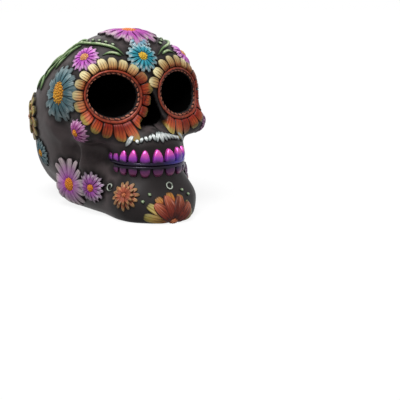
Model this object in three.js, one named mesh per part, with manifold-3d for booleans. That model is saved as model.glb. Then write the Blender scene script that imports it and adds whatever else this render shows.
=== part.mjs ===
// Sugar skull in cast resin: a dark cranium and jaw dressed with flowers, vines and painted teeth.
// Millimetres and degrees, +Z up, the face looks along -Y, origin under the middle of the whole piece.
import * as THREE from "three";
import { mergeVertices } from "three/addons/utils/BufferGeometryUtils.js";
import Module from "manifold-3d";

const wasm = await Module();
wasm.setup();

// Cranium masses: full sizes, and places from the middle of the head at table height
const BRAINCASE_WIDTH = 102;
const BRAINCASE_LENGTH = 110;
const BRAINCASE_HEIGHT = 95;
const BRAINCASE_PITCH = 12;
const BRAINCASE_BACK = 1;
const BRAINCASE_MIDDLE = 61;
const FOREHEAD_WIDTH = 65;
const FOREHEAD_LENGTH = 57;
const FOREHEAD_HEIGHT = 64;
const FOREHEAD_APART = 21.5;
const FOREHEAD_FRONT = 22;
const FOREHEAD_MIDDLE = 82.5;
const NAPE_WIDTH = 84;
const NAPE_LENGTH = 73;
const NAPE_HEIGHT = 70;
const NAPE_BACK = 22;
const NAPE_MIDDLE = 32.5;
const CHEEKBONE_WIDTH = 18;
const CHEEKBONE_LENGTH = 26;
const CHEEKBONE_HEIGHT = 26;
const CHEEKBONE_APART = 68;
const CHEEKBONE_FRONT = 40.5;
const CHEEKBONE_MIDDLE = 57;
const ORBIT_WIDTH = 43;
const ORBIT_LENGTH = 28;
const ORBIT_HEIGHT = 46;
const ORBIT_APART = 53;
const ORBIT_FRONT = 32.5;
const ORBIT_MIDDLE = 76;
const ARCH_THICKNESS = 11;
const ARCH_BACK = 6;
const BRIDGE_THICKNESS = 14;
const BRIDGE_FRONT = 42.5;
const BRIDGE_HEIGHT = 85;
const NOSE_BASE_THICKNESS = 40;
const NOSE_BASE_FRONT = 35.5;
const NOSE_BASE_HEIGHT = 62;
const MAXILLA_WIDTH = 50;
const MAXILLA_LENGTH = 47;
const MAXILLA_HEIGHT = 28;
const MAXILLA_MIDDLE = 48;
const THROAT_WIDTH = 52;
const THROAT_LENGTH = 68;
const THROAT_HEIGHT = 52;
const THROAT_FRONT = 14;
const THROAT_MIDDLE = 18;

// Jaw masses
const CHIN_WIDTH = 50;
const CHIN_LENGTH = 48;
const CHIN_HEIGHT = 37;
const CHIN_FRONT = 61;
const CHIN_MIDDLE = 4;
const JAW_FRONT_THICKNESS = 25;
const JAW_BACK_THICKNESS = 26;
const JAW_BACK_SPREAD = 52;
const JAW_BACK_FRONT = 3;
const JAW_GROUND_OFF = 1.5;
const RAMUS_THICKNESS = 14;
const RAMUS_SPREAD = 60;
const RAMUS_LENGTH = 34;
const RAMUS_HEIGHT = 48;
const RAMUS_FRONT = 28;
const RAMUS_MIDDLE = 36;

// Mouth
const BITE_HEIGHT = 35;
const MOUTH_FRONT = 45;
const GUM_WIDTH = 47;
const GUM_DEPTH = 27.5;
const TEETH_PER_ROW = 14;
const FRONT_TOOTH_WIDTH = 8.2;
const BACK_TOOTH_WIDTH = 5;
const UPPER_TOOTH_HEIGHT = 9.5;
const LOWER_TOOTH_HEIGHT = 9;
const TOOTH_DEPTH = 2.8;
const BITE_BAND = 1.3;

// Eyes and nose
const EYE_SPREAD = 49;
const EYE_HEIGHT = 78;
const EYE_TURN = 7;
const EYE_WIDTH = 31.5;
const EYE_OPENING_HEIGHT = 27;
const EYE_DEPTH = 29;
const ROPE_THICKNESS = 1.1;
const RIM_THICKNESS = 1.5;
const GARLAND_WIDTH = 51;
const GARLAND_HEIGHT = 49;
const GARLAND_PETALS = 16;
const NOSTRIL_WIDTH = 20;
const NOSTRIL_HEIGHT = 25;
const NOSTRIL_MIDDLE = 68.3;
const NOSTRIL_DEPTH = 17;

// Ornament relief
const PETAL_HEIGHT = 2.2;
const DISC_HEIGHT = 3.2;
const DISC_SHARE = 0.3;
const NOTCH_SHARE = 0.68;
const DAHLIA_RADIUS = 18.5;
const DAHLIA_PETALS = 12;
const CHIN_FLOWER_RISE = -35;
const CHIN_FLOWER_STRETCH = 1.16;
const VINE_WIDTH = 3;
const VINE_HEIGHT = 1.7;
const LEAF_WIDTH = 3.4;
const BEAD_DIAMETER = 2.4;
const BEADS_PER_VINE = 6;
const MOUSTACHE_MIDDLE = 52.5;
const MOUSTACHE_WIDTH = 28;
const MOUSTACHE_LEAVES = 9;
const MOUSTACHE_LEAF_HEIGHT = 4.6;
const CURL_DIAMETER = 6;
const RING_DIAMETER = 5;
const WIRE = 1.4;

// Fit and facets
const CLEARANCE = 0.3;
const SKULL_FACET = 9;
const JAW_FACET = 8;

const DEG = Math.PI / 180;
const v3 = (x, y, z) => new THREE.Vector3(x, y, z);
const range = (count) => [...Array(count).keys()];
const HEART = v3(0, 0, BRAINCASE_MIDDLE);

// Flowers by the bearing from straight ahead and the rise above the middle of the head.
// Those with a pair are repeated on the other side; earlier ones lie over later ones.
const FLOWERS = [
  { name: "forehead_daisy", bearing: -1.5, rise: 40.3, radius: 11, petals: 12, colour: 0x3f9fc0 },
  { name: "crown_daisy", bearing: 12, rise: 70, radius: 20, petals: 14, colour: 0xb04fb8 },
  { name: "brow_daisy", bearing: 4, rise: 54, radius: 8, petals: 9, colour: 0x7fb6d6 },
  { name: "temple_daisy", pair: true, bearing: 46.5, rise: 38.3, radius: 10, petals: 11, colour: 0xc864c4 },
  { name: "side_daisy", pair: true, bearing: 64, rise: 17, radius: 19, petals: 14, colour: 0x5a8794 },
  { name: "back_dahlia", pair: true, bearing: 122, rise: -5, radius: 17, petals: 10, colour: 0xc58a4a },
  { name: "cheek_daisy", pair: true, bearing: 48, rise: -7.5, radius: 9, petals: 10, colour: 0xb455b0 },
  { name: "nape_daisy", pair: true, bearing: 109, rise: -32, radius: 10, petals: 10, colour: 0x4d8296 },
  { name: "jaw_small_daisy", pair: true, bearing: 41, rise: -40, radius: 10, petals: 11, colour: 0xb45fb4 },
  { name: "jaw_large_daisy", pair: true, bearing: 68, rise: -48, radius: 15.5, petals: 12, colour: 0xc58ac0 },
  { name: "jaw_orange_daisy", bearing: -20.5, rise: -31.3, radius: 10, petals: 11, colour: 0xc87350 },
];

// Routes over the right half of the head as bearing and rise, from the forehead back
const VINE_ROUTE = [
  [16.5, 39.5], [25, 45], [39, 49.5], [55, 51.5], [75, 50],
  [95, 44], [109, 35], [112, 26], [111, 19],
];
const LEAF_ROUTES = [
  [[92, 45], [83, 43.5], [76, 44]],
  [[102, 40], [97, 34], [96, 27]],
  [[78, 50], [89, 53], [99, 53]],
];

// Angles round the eye, from its inner corner
const CURL_FROM = 70;
const CURL_TO = 97;

// Angles round the chin flower, from its left side
const CHIN_RING_ANGLE = 84;
const CHIN_BEAD_ANGLES = [42, 58, 126, 144];

// Fields: negative inside, about the distance in millimetres near the surface, mirrored about x = 0.
function ellipsoid(centre, size, pitch = 0) {
  const radii = size.clone().multiplyScalar(0.5);
  const cos = Math.cos(pitch * DEG);
  const sin = Math.sin(pitch * DEG);
  return (p) => {
    const dx = Math.max(Math.abs(p.x) - centre.x, 0) / radii.x;
    const dy = p.y - centre.y;
    const dz = p.z - centre.z;
    const forward = (dy * cos - dz * sin) / radii.y;
    const rise = (dy * sin + dz * cos) / radii.z;
    const reach = Math.hypot(dx, forward, rise);
    const slope = Math.hypot(dx / radii.x, forward / radii.y, rise / radii.z);
    return slope > 0 ? (reach * (reach - 1)) / slope : -radii.x;
  };
}

function capsule(from, to, fromRadius, toRadius) {
  const axis = to.clone().sub(from);
  const offset = v3();
  return (p) => {
    offset.set(Math.abs(p.x), p.y, p.z).sub(from);
    const along = THREE.MathUtils.clamp(offset.dot(axis) / axis.lengthSq(), 0, 1);
    const away = offset.addScaledVector(axis, -along).length();
    return away - THREE.MathUtils.lerp(fromRadius, toRadius, along);
  };
}

function column(centreY, halfWidth, halfDepth, low, high) {
  return (p) => {
    const reach = Math.hypot(p.x / halfWidth, (p.y - centreY) / halfDepth);
    const side = (reach - 1) * Math.min(halfWidth, halfDepth);
    return Math.max(side, low - p.z, p.z - high);
  };
}

function smoothMin(a, b, round) {
  const blend = Math.max(round - Math.abs(a - b), 0) / round;
  return Math.min(a, b) - (blend * blend * round) / 4;
}
const join = (round, ...fields) => (p) => fields.map((f) => f(p)).reduce((a, b) => smoothMin(a, b, round));
const capAt = (height, round, field) => (p) => -smoothMin(-field(p), height - p.z, round);

const braincase = ellipsoid(
  v3(0, BRAINCASE_BACK, BRAINCASE_MIDDLE),
  v3(BRAINCASE_WIDTH, BRAINCASE_LENGTH, BRAINCASE_HEIGHT),
  BRAINCASE_PITCH,
);
const forehead = ellipsoid(
  v3(FOREHEAD_APART / 2, -FOREHEAD_FRONT, FOREHEAD_MIDDLE),
  v3(FOREHEAD_WIDTH, FOREHEAD_LENGTH, FOREHEAD_HEIGHT),
);
const nape = ellipsoid(v3(0, NAPE_BACK, NAPE_MIDDLE), v3(NAPE_WIDTH, NAPE_LENGTH, NAPE_HEIGHT));
const cheekbone = ellipsoid(
  v3(CHEEKBONE_APART / 2, -CHEEKBONE_FRONT, CHEEKBONE_MIDDLE),
  v3(CHEEKBONE_WIDTH, CHEEKBONE_LENGTH, CHEEKBONE_HEIGHT),
);
const cheekArch = capsule(
  v3(CHEEKBONE_APART / 2 + CHEEKBONE_WIDTH / 4, -CHEEKBONE_FRONT, CHEEKBONE_MIDDLE),
  v3(BRAINCASE_WIDTH / 2 - ARCH_THICKNESS / 2, -ARCH_BACK, CHEEKBONE_MIDDLE),
  ARCH_THICKNESS / 2,
  ARCH_THICKNESS / 3,
);
const orbit = ellipsoid(
  v3(ORBIT_APART / 2, -ORBIT_FRONT, ORBIT_MIDDLE),
  v3(ORBIT_WIDTH, ORBIT_LENGTH, ORBIT_HEIGHT),
);
const nose = capsule(
  v3(0, -BRIDGE_FRONT, BRIDGE_HEIGHT),
  v3(0, -NOSE_BASE_FRONT, NOSE_BASE_HEIGHT),
  BRIDGE_THICKNESS / 2,
  NOSE_BASE_THICKNESS / 2,
);
const maxilla = ellipsoid(
  v3(0, -MOUTH_FRONT, MAXILLA_MIDDLE),
  v3(MAXILLA_WIDTH, MAXILLA_LENGTH, MAXILLA_HEIGHT),
);
const throat = ellipsoid(v3(0, -THROAT_FRONT, THROAT_MIDDLE), v3(THROAT_WIDTH, THROAT_LENGTH, THROAT_HEIGHT));
const upperGum = BITE_HEIGHT + UPPER_TOOTH_HEIGHT;
const lowerGum = BITE_HEIGHT - LOWER_TOOTH_HEIGHT;
const gums = column(-MOUTH_FRONT, GUM_WIDTH / 2, GUM_DEPTH, lowerGum - 6, upperGum + 2);
const head = join(12, braincase, forehead, nape);
const face = join(10, orbit, cheekbone, cheekArch, nose, maxilla);
const craniumField = join(9, head, face, gums, throat);

const chin = ellipsoid(v3(0, -CHIN_FRONT, CHIN_MIDDLE), v3(CHIN_WIDTH, CHIN_LENGTH, CHIN_HEIGHT));
const jawBody = capsule(
  v3(CHIN_WIDTH / 3, -CHIN_FRONT, JAW_FRONT_THICKNESS / 2 - JAW_GROUND_OFF),
  v3(JAW_BACK_SPREAD / 2, -JAW_BACK_FRONT, JAW_BACK_THICKNESS / 2 - JAW_GROUND_OFF),
  JAW_FRONT_THICKNESS / 2,
  JAW_BACK_THICKNESS / 2,
);
const ramus = ellipsoid(
  v3(RAMUS_SPREAD / 2, -RAMUS_FRONT, RAMUS_MIDDLE),
  v3(RAMUS_THICKNESS, RAMUS_LENGTH, RAMUS_HEIGHT),
);
const jawField = join(11, capAt(lowerGum + 1, 5, join(9, chin, jawBody)), ramus, gums);
const skullField = join(6, craniumField, jawField);

function outward(field, point) {
  const step = 1.5;
  const slope = (axis) =>
    field(point.clone().addScaledVector(axis, step)) - field(point.clone().addScaledVector(axis, -step));
  return v3(slope(v3(1, 0, 0)), slope(v3(0, 1, 0)), slope(v3(0, 0, 1))).normalize();
}

// Closed skin of a field: one point in each grid cell that the surface crosses, settled on the surface or
// the given height over it, and joined across crossed edges.
function skinOf(field, low, high, cell, height = 0) {
  const axes = ["x", "y", "z"];
  const counts = axes.map((k) => Math.ceil((high[k] - low[k]) / cell) + 1);
  const start = axes.map((k, d) => (low[k] + high[k] - (counts[d] - 1) * cell) / 2);
  const at = (i, j, k) => i + counts[0] * (j + counts[1] * k);
  const everyCell = (from, visit) => {
    for (let k = from; k + 1 < counts[2]; k++)
      for (let j = from; j + 1 < counts[1]; j++)
        for (let i = from; i + 1 < counts[0]; i++) visit(i, j, k);
  };
  const value = new Float32Array(counts[0] * counts[1] * counts[2]);
  const p = v3();
  value.forEach((_, index) => {
    const i = index % counts[0];
    const j = Math.floor(index / counts[0]) % counts[1];
    const k = Math.floor(index / counts[0] / counts[1]);
    value[index] = field(p.set(start[0] + i * cell, start[1] + j * cell, start[2] + k * cell));
  });

  const corners = [...Array(8).keys()].map((c) => [c & 1, (c >> 1) & 1, c >> 2]);
  const cellEdges = corners.flatMap((a) =>
    [0, 1, 2].filter((d) => a[d] === 0).map((d) => [a, a.map((v, axis) => (axis === d ? 1 : v))]),
  );
  const points = [];
  const pointIn = new Map();
  everyCell(0, (i, j, k) => {
    const sum = v3();
    let crossings = 0;
    for (const [a, b] of cellEdges) {
      const va = value[at(i + a[0], j + a[1], k + a[2])];
      const vb = value[at(i + b[0], j + b[1], k + b[2])];
      if (va < 0 === vb < 0) continue;
      sum.add(v3(...a).lerp(v3(...b), va / (va - vb)));
      crossings += 1;
    }
    if (crossings === 0) return;
    pointIn.set(at(i, j, k), points.length);
    const point = sum.divideScalar(crossings).add(v3(i, j, k)).multiplyScalar(cell).add(v3(...start));
    points.push(point.addScaledVector(outward(field, point), height - field(point)));
  });

  const triangles = [];
  const steps = [[1, 0, 0], [0, 1, 0], [0, 0, 1]];
  everyCell(1, (i, j, k) =>
    steps.forEach((step, d) => {
      const inside = value[at(i, j, k)] < 0;
      if (inside === value[at(i + step[0], j + step[1], k + step[2])] < 0) return;
      const u = steps[(d + 1) % 3];
      const w = steps[(d + 2) % 3];
      const ring = [[0, 0], [1, 0], [1, 1], [0, 1]].map(([s, t]) =>
        pointIn.get(at(i - s * u[0] - t * w[0], j - s * u[1] - t * w[1], k - s * u[2] - t * w[2])),
      );
      if (!inside) ring.reverse();
      const [a, b, c, e] = ring;
      const acrossIsShort = points[a].distanceTo(points[c]) < points[b].distanceTo(points[e]);
      triangles.push(...(acrossIsShort ? [a, b, c, a, c, e] : [b, c, e, b, e, a]));
    }),
  );
  return surface(points, triangles);
}

function surface(points, triangles) {
  const geometry = new THREE.BufferGeometry().setFromPoints(points);
  geometry.setIndex(triangles);
  return geometry;
}

// Closed loft through rings of equally many points, some of which may coincide.
// Tips close it; without tips the last ring meets the first.
function loft(rings, firstTip, lastTip) {
  const sides = rings[0].length;
  const points = rings.flat();
  const triangles = [];
  const spans = firstTip ? rings.length - 1 : rings.length;
  for (let r = 0; r < spans; r++)
    for (let s = 0; s < sides; s++) {
      const a = r * sides + s;
      const b = r * sides + ((s + 1) % sides);
      const c = ((r + 1) % rings.length) * sides + s;
      const d = ((r + 1) % rings.length) * sides + ((s + 1) % sides);
      triangles.push(a, b, d, a, d, c);
    }
  if (firstTip) {
    const last = (rings.length - 1) * sides;
    points.push(firstTip, lastTip);
    for (let s = 0; s < sides; s++) {
      const next = (s + 1) % sides;
      triangles.push(points.length - 2, next, s, points.length - 1, last + s, last + next);
    }
  }
  return solid(surface(points, triangles));
}

// Boolean solids
function solid(geometry) {
  const bare = geometry.clone();
  bare.deleteAttribute("normal");
  bare.deleteAttribute("uv");
  const merged = mergeVertices(bare, 1e-4);
  const corners = merged.index.array;
  const triangles = range(corners.length / 3).map((i) => [...corners.slice(3 * i, 3 * i + 3)]);
  const mesh = new wasm.Mesh({
    numProp: 3,
    vertProperties: new Float32Array(merged.attributes.position.array),
    triVerts: new Uint32Array(triangles.filter((triangle) => new Set(triangle).size === 3).flat()),
  });
  return new wasm.Manifold(mesh);
}

function geometryOf(body) {
  const mesh = body.getMesh();
  const geometry = new THREE.BufferGeometry();
  geometry.setAttribute("position", new THREE.Float32BufferAttribute(mesh.vertProperties, 3));
  geometry.setIndex(new THREE.BufferAttribute(new Uint32Array(mesh.triVerts), 1));
  geometry.computeVertexNormals();
  return geometry;
}

const largest = (body) => body.decompose().reduce((a, b) => (b.volume() > a.volume() ? b : a));
const box = (low, high) => {
  const size = high.clone().sub(low);
  const middle = low.clone().addScaledVector(size, 0.5);
  return solid(new THREE.BoxGeometry(size.x, size.y, size.z).translate(...middle));
};

// Points on the skin
const REACH = 160;
function skinPoint(focus, direction) {
  const at = (distance) => focus.clone().addScaledVector(direction, distance);
  let outside = REACH;
  while (outside > 2 && skullField(at(outside - 2)) > 0) outside -= 2;
  let inside = outside - 2;
  for (let halving = 0; halving < 14; halving++) {
    const middle = (inside + outside) / 2;
    if (skullField(at(middle)) > 0) outside = middle;
    else inside = middle;
  }
  return at(inside);
}

const skinNormal = (point) => outward(skullField, point);

function towards(bearing, rise) {
  const flat = Math.cos(rise * DEG);
  return v3(Math.sin(bearing * DEG) * flat, -Math.cos(bearing * DEG) * flat, Math.sin(rise * DEG));
}

// A patch lays flat drawings on the skin: (across, up, height over the skin), wrapped round a point below it.
function patchAt(anchor, axis, wrap) {
  const focus = anchor.clone().addScaledVector(axis, -wrap);
  const right = v3(0, 0, 1).cross(axis).normalize();
  const up = axis.clone().cross(right);
  return (across, rise, height) => {
    const radius = Math.hypot(across, rise);
    const swing = radius / wrap;
    const direction = axis.clone().multiplyScalar(Math.cos(swing));
    if (radius > 0) {
      const lean = Math.sin(swing) / radius;
      direction.addScaledVector(right, across * lean).addScaledVector(up, rise * lean);
    }
    return skinPoint(focus, direction).addScaledVector(direction, height);
  };
}
const around = (patch, radius, angle, height) =>
  patch(radius * Math.cos(angle), radius * Math.sin(angle), height);

// Skull bodies
const LOW = v3(-0.8 * BRAINCASE_WIDTH, -CHIN_FRONT - CHIN_LENGTH, -CHIN_HEIGHT);
const HIGH = v3(
  0.8 * BRAINCASE_WIDTH,
  BRAINCASE_BACK + 0.75 * BRAINCASE_LENGTH,
  BRAINCASE_MIDDLE + 0.85 * BRAINCASE_HEIGHT,
);
const BITE_GAP = CLEARANCE / 2;
const overTable = box(v3(LOW.x, LOW.y, 0), HIGH);
const mouthFloor = (raise) => box(LOW, v3(HIGH.x, GUM_DEPTH - MOUTH_FRONT, BITE_HEIGHT + raise));
const skullSkin = skinOf(craniumField, LOW, HIGH, SKULL_FACET);
const grownSkin = (field, facet) => solid(skinOf(field, LOW, HIGH, facet, CLEARANCE));
const uncutCranium = solid(skullSkin).subtract(mouthFloor(BITE_GAP)).intersect(overTable);
const craniumBed = grownSkin(craniumField, SKULL_FACET).subtract(mouthFloor(BITE_GAP - CLEARANCE));
const mouthRoof = box(v3(LOW.x, LOW.y, BITE_HEIGHT - BITE_GAP), v3(HIGH.x, -MOUTH_FRONT, HIGH.z));
const mandible = largest(
  solid(skinOf(jawField, LOW, HIGH, JAW_FACET)).subtract(craniumBed).subtract(mouthRoof).intersect(overTable),
);
const bed = craniumBed.add(grownSkin(jawField, JAW_FACET));

// Eye sockets and nostril
const eyePatch = (side) => {
  const axis = v3(side * Math.sin(EYE_TURN * DEG), -Math.cos(EYE_TURN * DEG), 0);
  const anchor = skinPoint(v3((side * EYE_SPREAD) / 2, 0, EYE_HEIGHT), v3(0, -1, 0));
  return patchAt(anchor, axis, 1.6 * GARLAND_HEIGHT);
};
const ellipseRing = (patch, halfWidth, halfHeight, height, sides) =>
  [...Array(sides).keys()].map((i) => {
    const angle = (i / sides) * 2 * Math.PI;
    return patch(halfWidth * Math.cos(angle), halfHeight * Math.sin(angle), height);
  });

function eyeSocket(side) {
  const patch = eyePatch(side);
  const bowl = [
    [1, 8],
    [1, -3],
    [0.94, -0.45 * EYE_DEPTH],
    [0.75, -0.78 * EYE_DEPTH],
    [0.4, -0.96 * EYE_DEPTH],
  ];
  const rings = bowl.map(([share, height]) =>
    ellipseRing(patch, (share * EYE_WIDTH) / 2, (share * EYE_OPENING_HEIGHT) / 2, height, 28),
  );
  return loft(rings.reverse(), patch(0, 0, -EYE_DEPTH), patch(0, 0, 8));
}

function nostril() {
  const outline = new THREE.Shape();
  const half = NOSTRIL_WIDTH / 2;
  const top = NOSTRIL_HEIGHT / 2;
  outline.moveTo(0, top);
  outline.bezierCurveTo(half * 0.5, top, half * 0.6, 0, half * 0.9, -top * 0.45);
  outline.bezierCurveTo(half * 1.2, -top * 0.85, half * 0.5, -top * 1.2, 0, -top * 0.72);
  outline.bezierCurveTo(-half * 0.5, -top * 1.2, -half * 1.2, -top * 0.85, -half * 0.9, -top * 0.45);
  outline.bezierCurveTo(-half * 0.6, 0, -half * 0.5, top, 0, top);
  const drawing = outline.getPoints(7).slice(1);
  const anchor = skinPoint(v3(0, 0, NOSTRIL_MIDDLE), v3(0, -1, 0));
  const patch = patchAt(anchor, v3(0, -1, 0), 2.5 * NOSTRIL_HEIGHT);
  const layers = [[0.5, -NOSTRIL_DEPTH], [0.9, -0.75 * NOSTRIL_DEPTH], [1, -3], [1, 8]];
  const rings = layers.map(([share, height]) => drawing.map((p) => patch(p.x * share, p.y * share, height)));
  return loft(rings.map((ring) => ring.reverse()), patch(0, 0, -NOSTRIL_DEPTH), patch(0, 0, 8));
}

const noseHole = nostril();
const cranium = largest(uncutCranium.subtract(eyeSocket(-1)).subtract(eyeSocket(1)).subtract(noseHole));

const skull = new THREE.Group();
function place(name, body, colour, roughness = 0.45) {
  const mesh = new THREE.Mesh(geometryOf(body), new THREE.MeshStandardMaterial({ color: colour, roughness }));
  mesh.name = name;
  skull.add(mesh);
}

// Ornaments are laid on the skin, cut to it and kept clear of the room taken by earlier ones.
const taken = [noseHole];
function lay(name, body, room, colour, roughness) {
  const seated = body.subtract(bed).intersect(overTable);
  const trimmed = taken.reduce((left, earlier) => left.subtract(earlier), seated);
  place(name, largest(trimmed), colour, roughness);
  taken.push(room);
}
const SINK = 3;
const ROOM_HEIGHT = 7;
const sideName = (side) => (side < 0 ? "right" : "left");

// Petals: three points each, the notch and two shoulders, at these shares of the petal's width
const PETAL_STEPS = [0, 0.3, 0.7];
const petalAngles = (petals) =>
  range(petals).flatMap((i) => PETAL_STEPS.map((step) => ((i + step) / petals) * 2 * Math.PI));
const isNotch = (index) => index % PETAL_STEPS.length === 0;

function petalRing(patch, petals, shoulder, notch) {
  return petalAngles(petals).map((angle, i) => {
    const [radius, height] = isNotch(i) ? notch : shoulder;
    return around(patch, radius, angle, height);
  });
}

function petalRoom(patch, radius) {
  const sides = 16;
  const grown = (radius + CLEARANCE) / Math.cos(Math.PI / sides);
  const ring = (height) => ellipseRing(patch, grown, grown, height, sides);
  return loft([ring(-SINK), ring(ROOM_HEIGHT)], patch(0, 0, -2 * SINK), patch(0, 0, ROOM_HEIGHT));
}

// One point a petal, at its middle
const petalRoots = (patch, petals, radius, height) =>
  range(petals).flatMap((i) => {
    const point = around(patch, radius, ((i + 0.5) / petals) * 2 * Math.PI, height);
    return PETAL_STEPS.map(() => point);
  });

function daisy(patch, petals, radius) {
  const disc = radius * DISC_SHARE;
  const notch = radius * NOTCH_SHARE;
  const rings = [
    petalRing(patch, petals, [radius, 0.6 * PETAL_HEIGHT], [notch, 0.3 * PETAL_HEIGHT]),
    petalRoots(patch, petals, disc, PETAL_HEIGHT),
  ];
  return loft(rings, patch(0, 0, -2 * SINK), patch(0, 0, DISC_HEIGHT));
}

// A dahlia has an inner tier of petals standing over the outer one.
function dahlia(patch, petals, radius) {
  const notch = radius * NOTCH_SHARE;
  const rings = [
    petalRing(patch, petals, [radius, 0.5 * PETAL_HEIGHT], [notch, 0.2 * PETAL_HEIGHT]),
    petalRoots(patch, petals, 0.62 * radius, 0.8 * PETAL_HEIGHT),
    petalRoots(patch, petals, 0.56 * radius, 1.4 * PETAL_HEIGHT),
  ];
  return loft(rings, patch(0, 0, -2 * SINK), patch(0, 0, DISC_HEIGHT));
}

function patchToward(bearing, rise, radius) {
  const anchor = skinPoint(HEART, towards(bearing, rise));
  return patchAt(anchor, skinNormal(anchor), 3.4 * radius);
}

// Eye trim: a rope at the edge of the socket, a smooth rim round it and a garland of petals
const rimInside = ROPE_THICKNESS + CLEARANCE;
const garlandInside = rimInside + RIM_THICKNESS + CLEARANCE;
const eyeOval = (patch, out, angle, height) =>
  patch((EYE_WIDTH / 2 + out) * Math.cos(angle), (EYE_OPENING_HEIGHT / 2 + out) * Math.sin(angle), height);

function eyeRing(patch, inside, thickness, steps, swell) {
  const sides = 4;
  const rings = range(sides).map((c) =>
    range(steps).map((i) => {
      const turn = (c / sides) * 2 * Math.PI;
      const angle = (i / steps) * 2 * Math.PI;
      const radius = (thickness / 2) * swell(angle, turn);
      const out = inside + thickness / 2 + radius * Math.cos(turn);
      return eyeOval(patch, out, angle, CLEARANCE + radius * (1 + Math.sin(turn)));
    }),
  );
  return loft(rings);
}

function garlandTip(angle) {
  const x = Math.cos(angle) / (GARLAND_WIDTH / 2);
  const y = Math.sin(angle) / (GARLAND_HEIGHT / 2);
  return 1 / Math.hypot(x, y);
}

function garland(patch, grow) {
  const root = (angle) => eyeOval((x, y) => Math.hypot(x, y), garlandInside - grow, angle, 0);
  const ring = (shoulder, notch, shoulderHeight, notchHeight) =>
    petalAngles(GARLAND_PETALS).map((angle, i) => {
      const share = isNotch(i) ? notch : shoulder;
      const radius = THREE.MathUtils.lerp(root(angle), garlandTip(angle) + grow, share);
      return around(patch, radius, angle, isNotch(i) ? notchHeight : shoulderHeight);
    });
  const high = grow > 0 ? ROOM_HEIGHT : PETAL_HEIGHT;
  return loft([
    ring(1, 0.55, -SINK, -SINK),
    ring(1, 0.55, 0.6 * high, 0.3 * high),
    ring(0, 0, high, high),
    ring(0, 0, -SINK, -SINK),
  ]);
}

function dressEye(side) {
  const patch = eyePatch(side);
  const turns = 15;
  const twist = (angle, turn) => 1 + 0.18 * Math.sin(turns * angle + turn);
  const rope = eyeRing(patch, 0, ROPE_THICKNESS, 2 * turns, twist);
  const rim = eyeRing(patch, rimInside, RIM_THICKNESS, 26, () => 1);
  lay(`eye_rope_${sideName(side)}`, rope, rope, 0xb5502f);
  lay(`eye_rim_${sideName(side)}`, rim, rim, 0xa8432c);
  const ownHalf = box(v3(CLEARANCE / 2, LOW.y, 0), HIGH).scale([side, 1, 1]);
  const petals = garland(patch, 0).intersect(ownHalf);
  lay(`eye_garland_${sideName(side)}`, petals, garland(patch, CLEARANCE), 0xc06a35);
}

// Teeth: one scalloped strip a row, from the bite outwards to the gum
function toothRow(gumward, height) {
  const sweep = (120 * Math.PI) / 180;
  const front = -Math.PI / 2;
  const ends = [front - sweep, front + sweep];
  const arch = new THREE.EllipseCurve(0, -MOUTH_FRONT, GUM_WIDTH / 2, GUM_DEPTH, ...ends);
  const perSide = TEETH_PER_ROW / 2;
  const stations = [{ along: 0, groove: true }];
  range(perSide).forEach((i) => {
    const width = THREE.MathUtils.lerp(FRONT_TOOTH_WIDTH, BACK_TOOTH_WIDTH, i / (perSide - 1));
    const from = stations.at(-1).along;
    stations.push({ along: from + 0.25 * width }, { along: from + 0.75 * width });
    stations.push({ along: from + width, groove: true });
  });
  const mirrored = stations.slice(1).map((s) => ({ ...s, along: -s.along })).reverse();
  const rings = [...mirrored, ...stations].map(({ along, groove }) => {
    const share = 0.5 + along / arch.getLength();
    const foot = arch.getPointAt(share);
    const tangent = arch.getTangentAt(share);
    const belly = groove ? 0.3 : 1;
    const top = height * (groove ? 0.62 : 1);
    const profile = [
      [-SINK, top],
      [0.1 * TOOTH_DEPTH, top],
      [0.75 * belly * TOOTH_DEPTH, 0.75 * top],
      [belly * TOOTH_DEPTH, BITE_BAND + 0.15 * height],
      [0.85 * TOOTH_DEPTH, BITE_BAND],
      [0.85 * TOOTH_DEPTH, BITE_GAP],
      [-SINK, BITE_GAP],
    ];
    const ring = profile.map(([out, rise]) =>
      v3(foot.x + tangent.y * out, foot.y - tangent.x * out, BITE_HEIGHT + gumward * rise),
    );
    return gumward > 0 ? ring : ring.reverse();
  });
  const middle = (ring) => ring.reduce((sum, p) => sum.add(p), v3()).divideScalar(ring.length);
  return loft(rings, middle(rings[0]), middle(rings.at(-1)));
}

// A raised strand along points on the skin, with width and height by the share of its length
function strand(points, width, height) {
  const rings = points.map((point, i) => {
    const next = points[Math.min(i + 1, points.length - 1)];
    const tangent = next.clone().sub(points[Math.max(i - 1, 0)]).normalize();
    const normal = skinNormal(point);
    const across = normal.clone().cross(tangent).normalize();
    const share = i / (points.length - 1);
    const corner = (side, lift) =>
      point.clone().addScaledVector(across, (side * width(share)) / 2).addScaledVector(normal, lift);
    return [
      corner(1.2, -SINK / 2),
      corner(0.6, height(share)),
      corner(-0.6, height(share)),
      corner(-1.2, -SINK / 2),
    ];
  });
  return loft(rings, points[0], points.at(-1));
}

function routeOver(route, side, steps) {
  const guide = new THREE.CatmullRomCurve3(route.map(([bearing, rise]) => towards(side * bearing, rise)));
  return range(steps + 1).map((i) => skinPoint(HEART, guide.getPointAt(i / steps).normalize()));
}
const taper = (share) => 0.35 + 0.65 * Math.min(1, 6 * share, 2.5 * (1 - share));
const lens = (share) => 0.15 + 0.85 * Math.sin(Math.PI * share);

function bead(point, grow) {
  const ball = new THREE.SphereGeometry(BEAD_DIAMETER / 2 + grow, 6, 4);
  return solid(ball.translate(point.x, point.y, point.z));
}

function vine(side, grow) {
  const stem = routeOver(VINE_ROUTE, side, 17);
  const grown = (size) => (share) => size(share) + 2 * grow;
  const tall = grow > 0 ? ROOM_HEIGHT : VINE_HEIGHT;
  const body = strand(stem, grown((t) => VINE_WIDTH * taper(t)), (t) => tall * taper(t));
  const leaves = LEAF_ROUTES.map((route) =>
    strand(routeOver(route, side, 5), grown((t) => LEAF_WIDTH * lens(t)), () => 0.8 * tall),
  );
  return leaves.reduce((all, leaf) => all.add(leaf), body);
}

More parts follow.
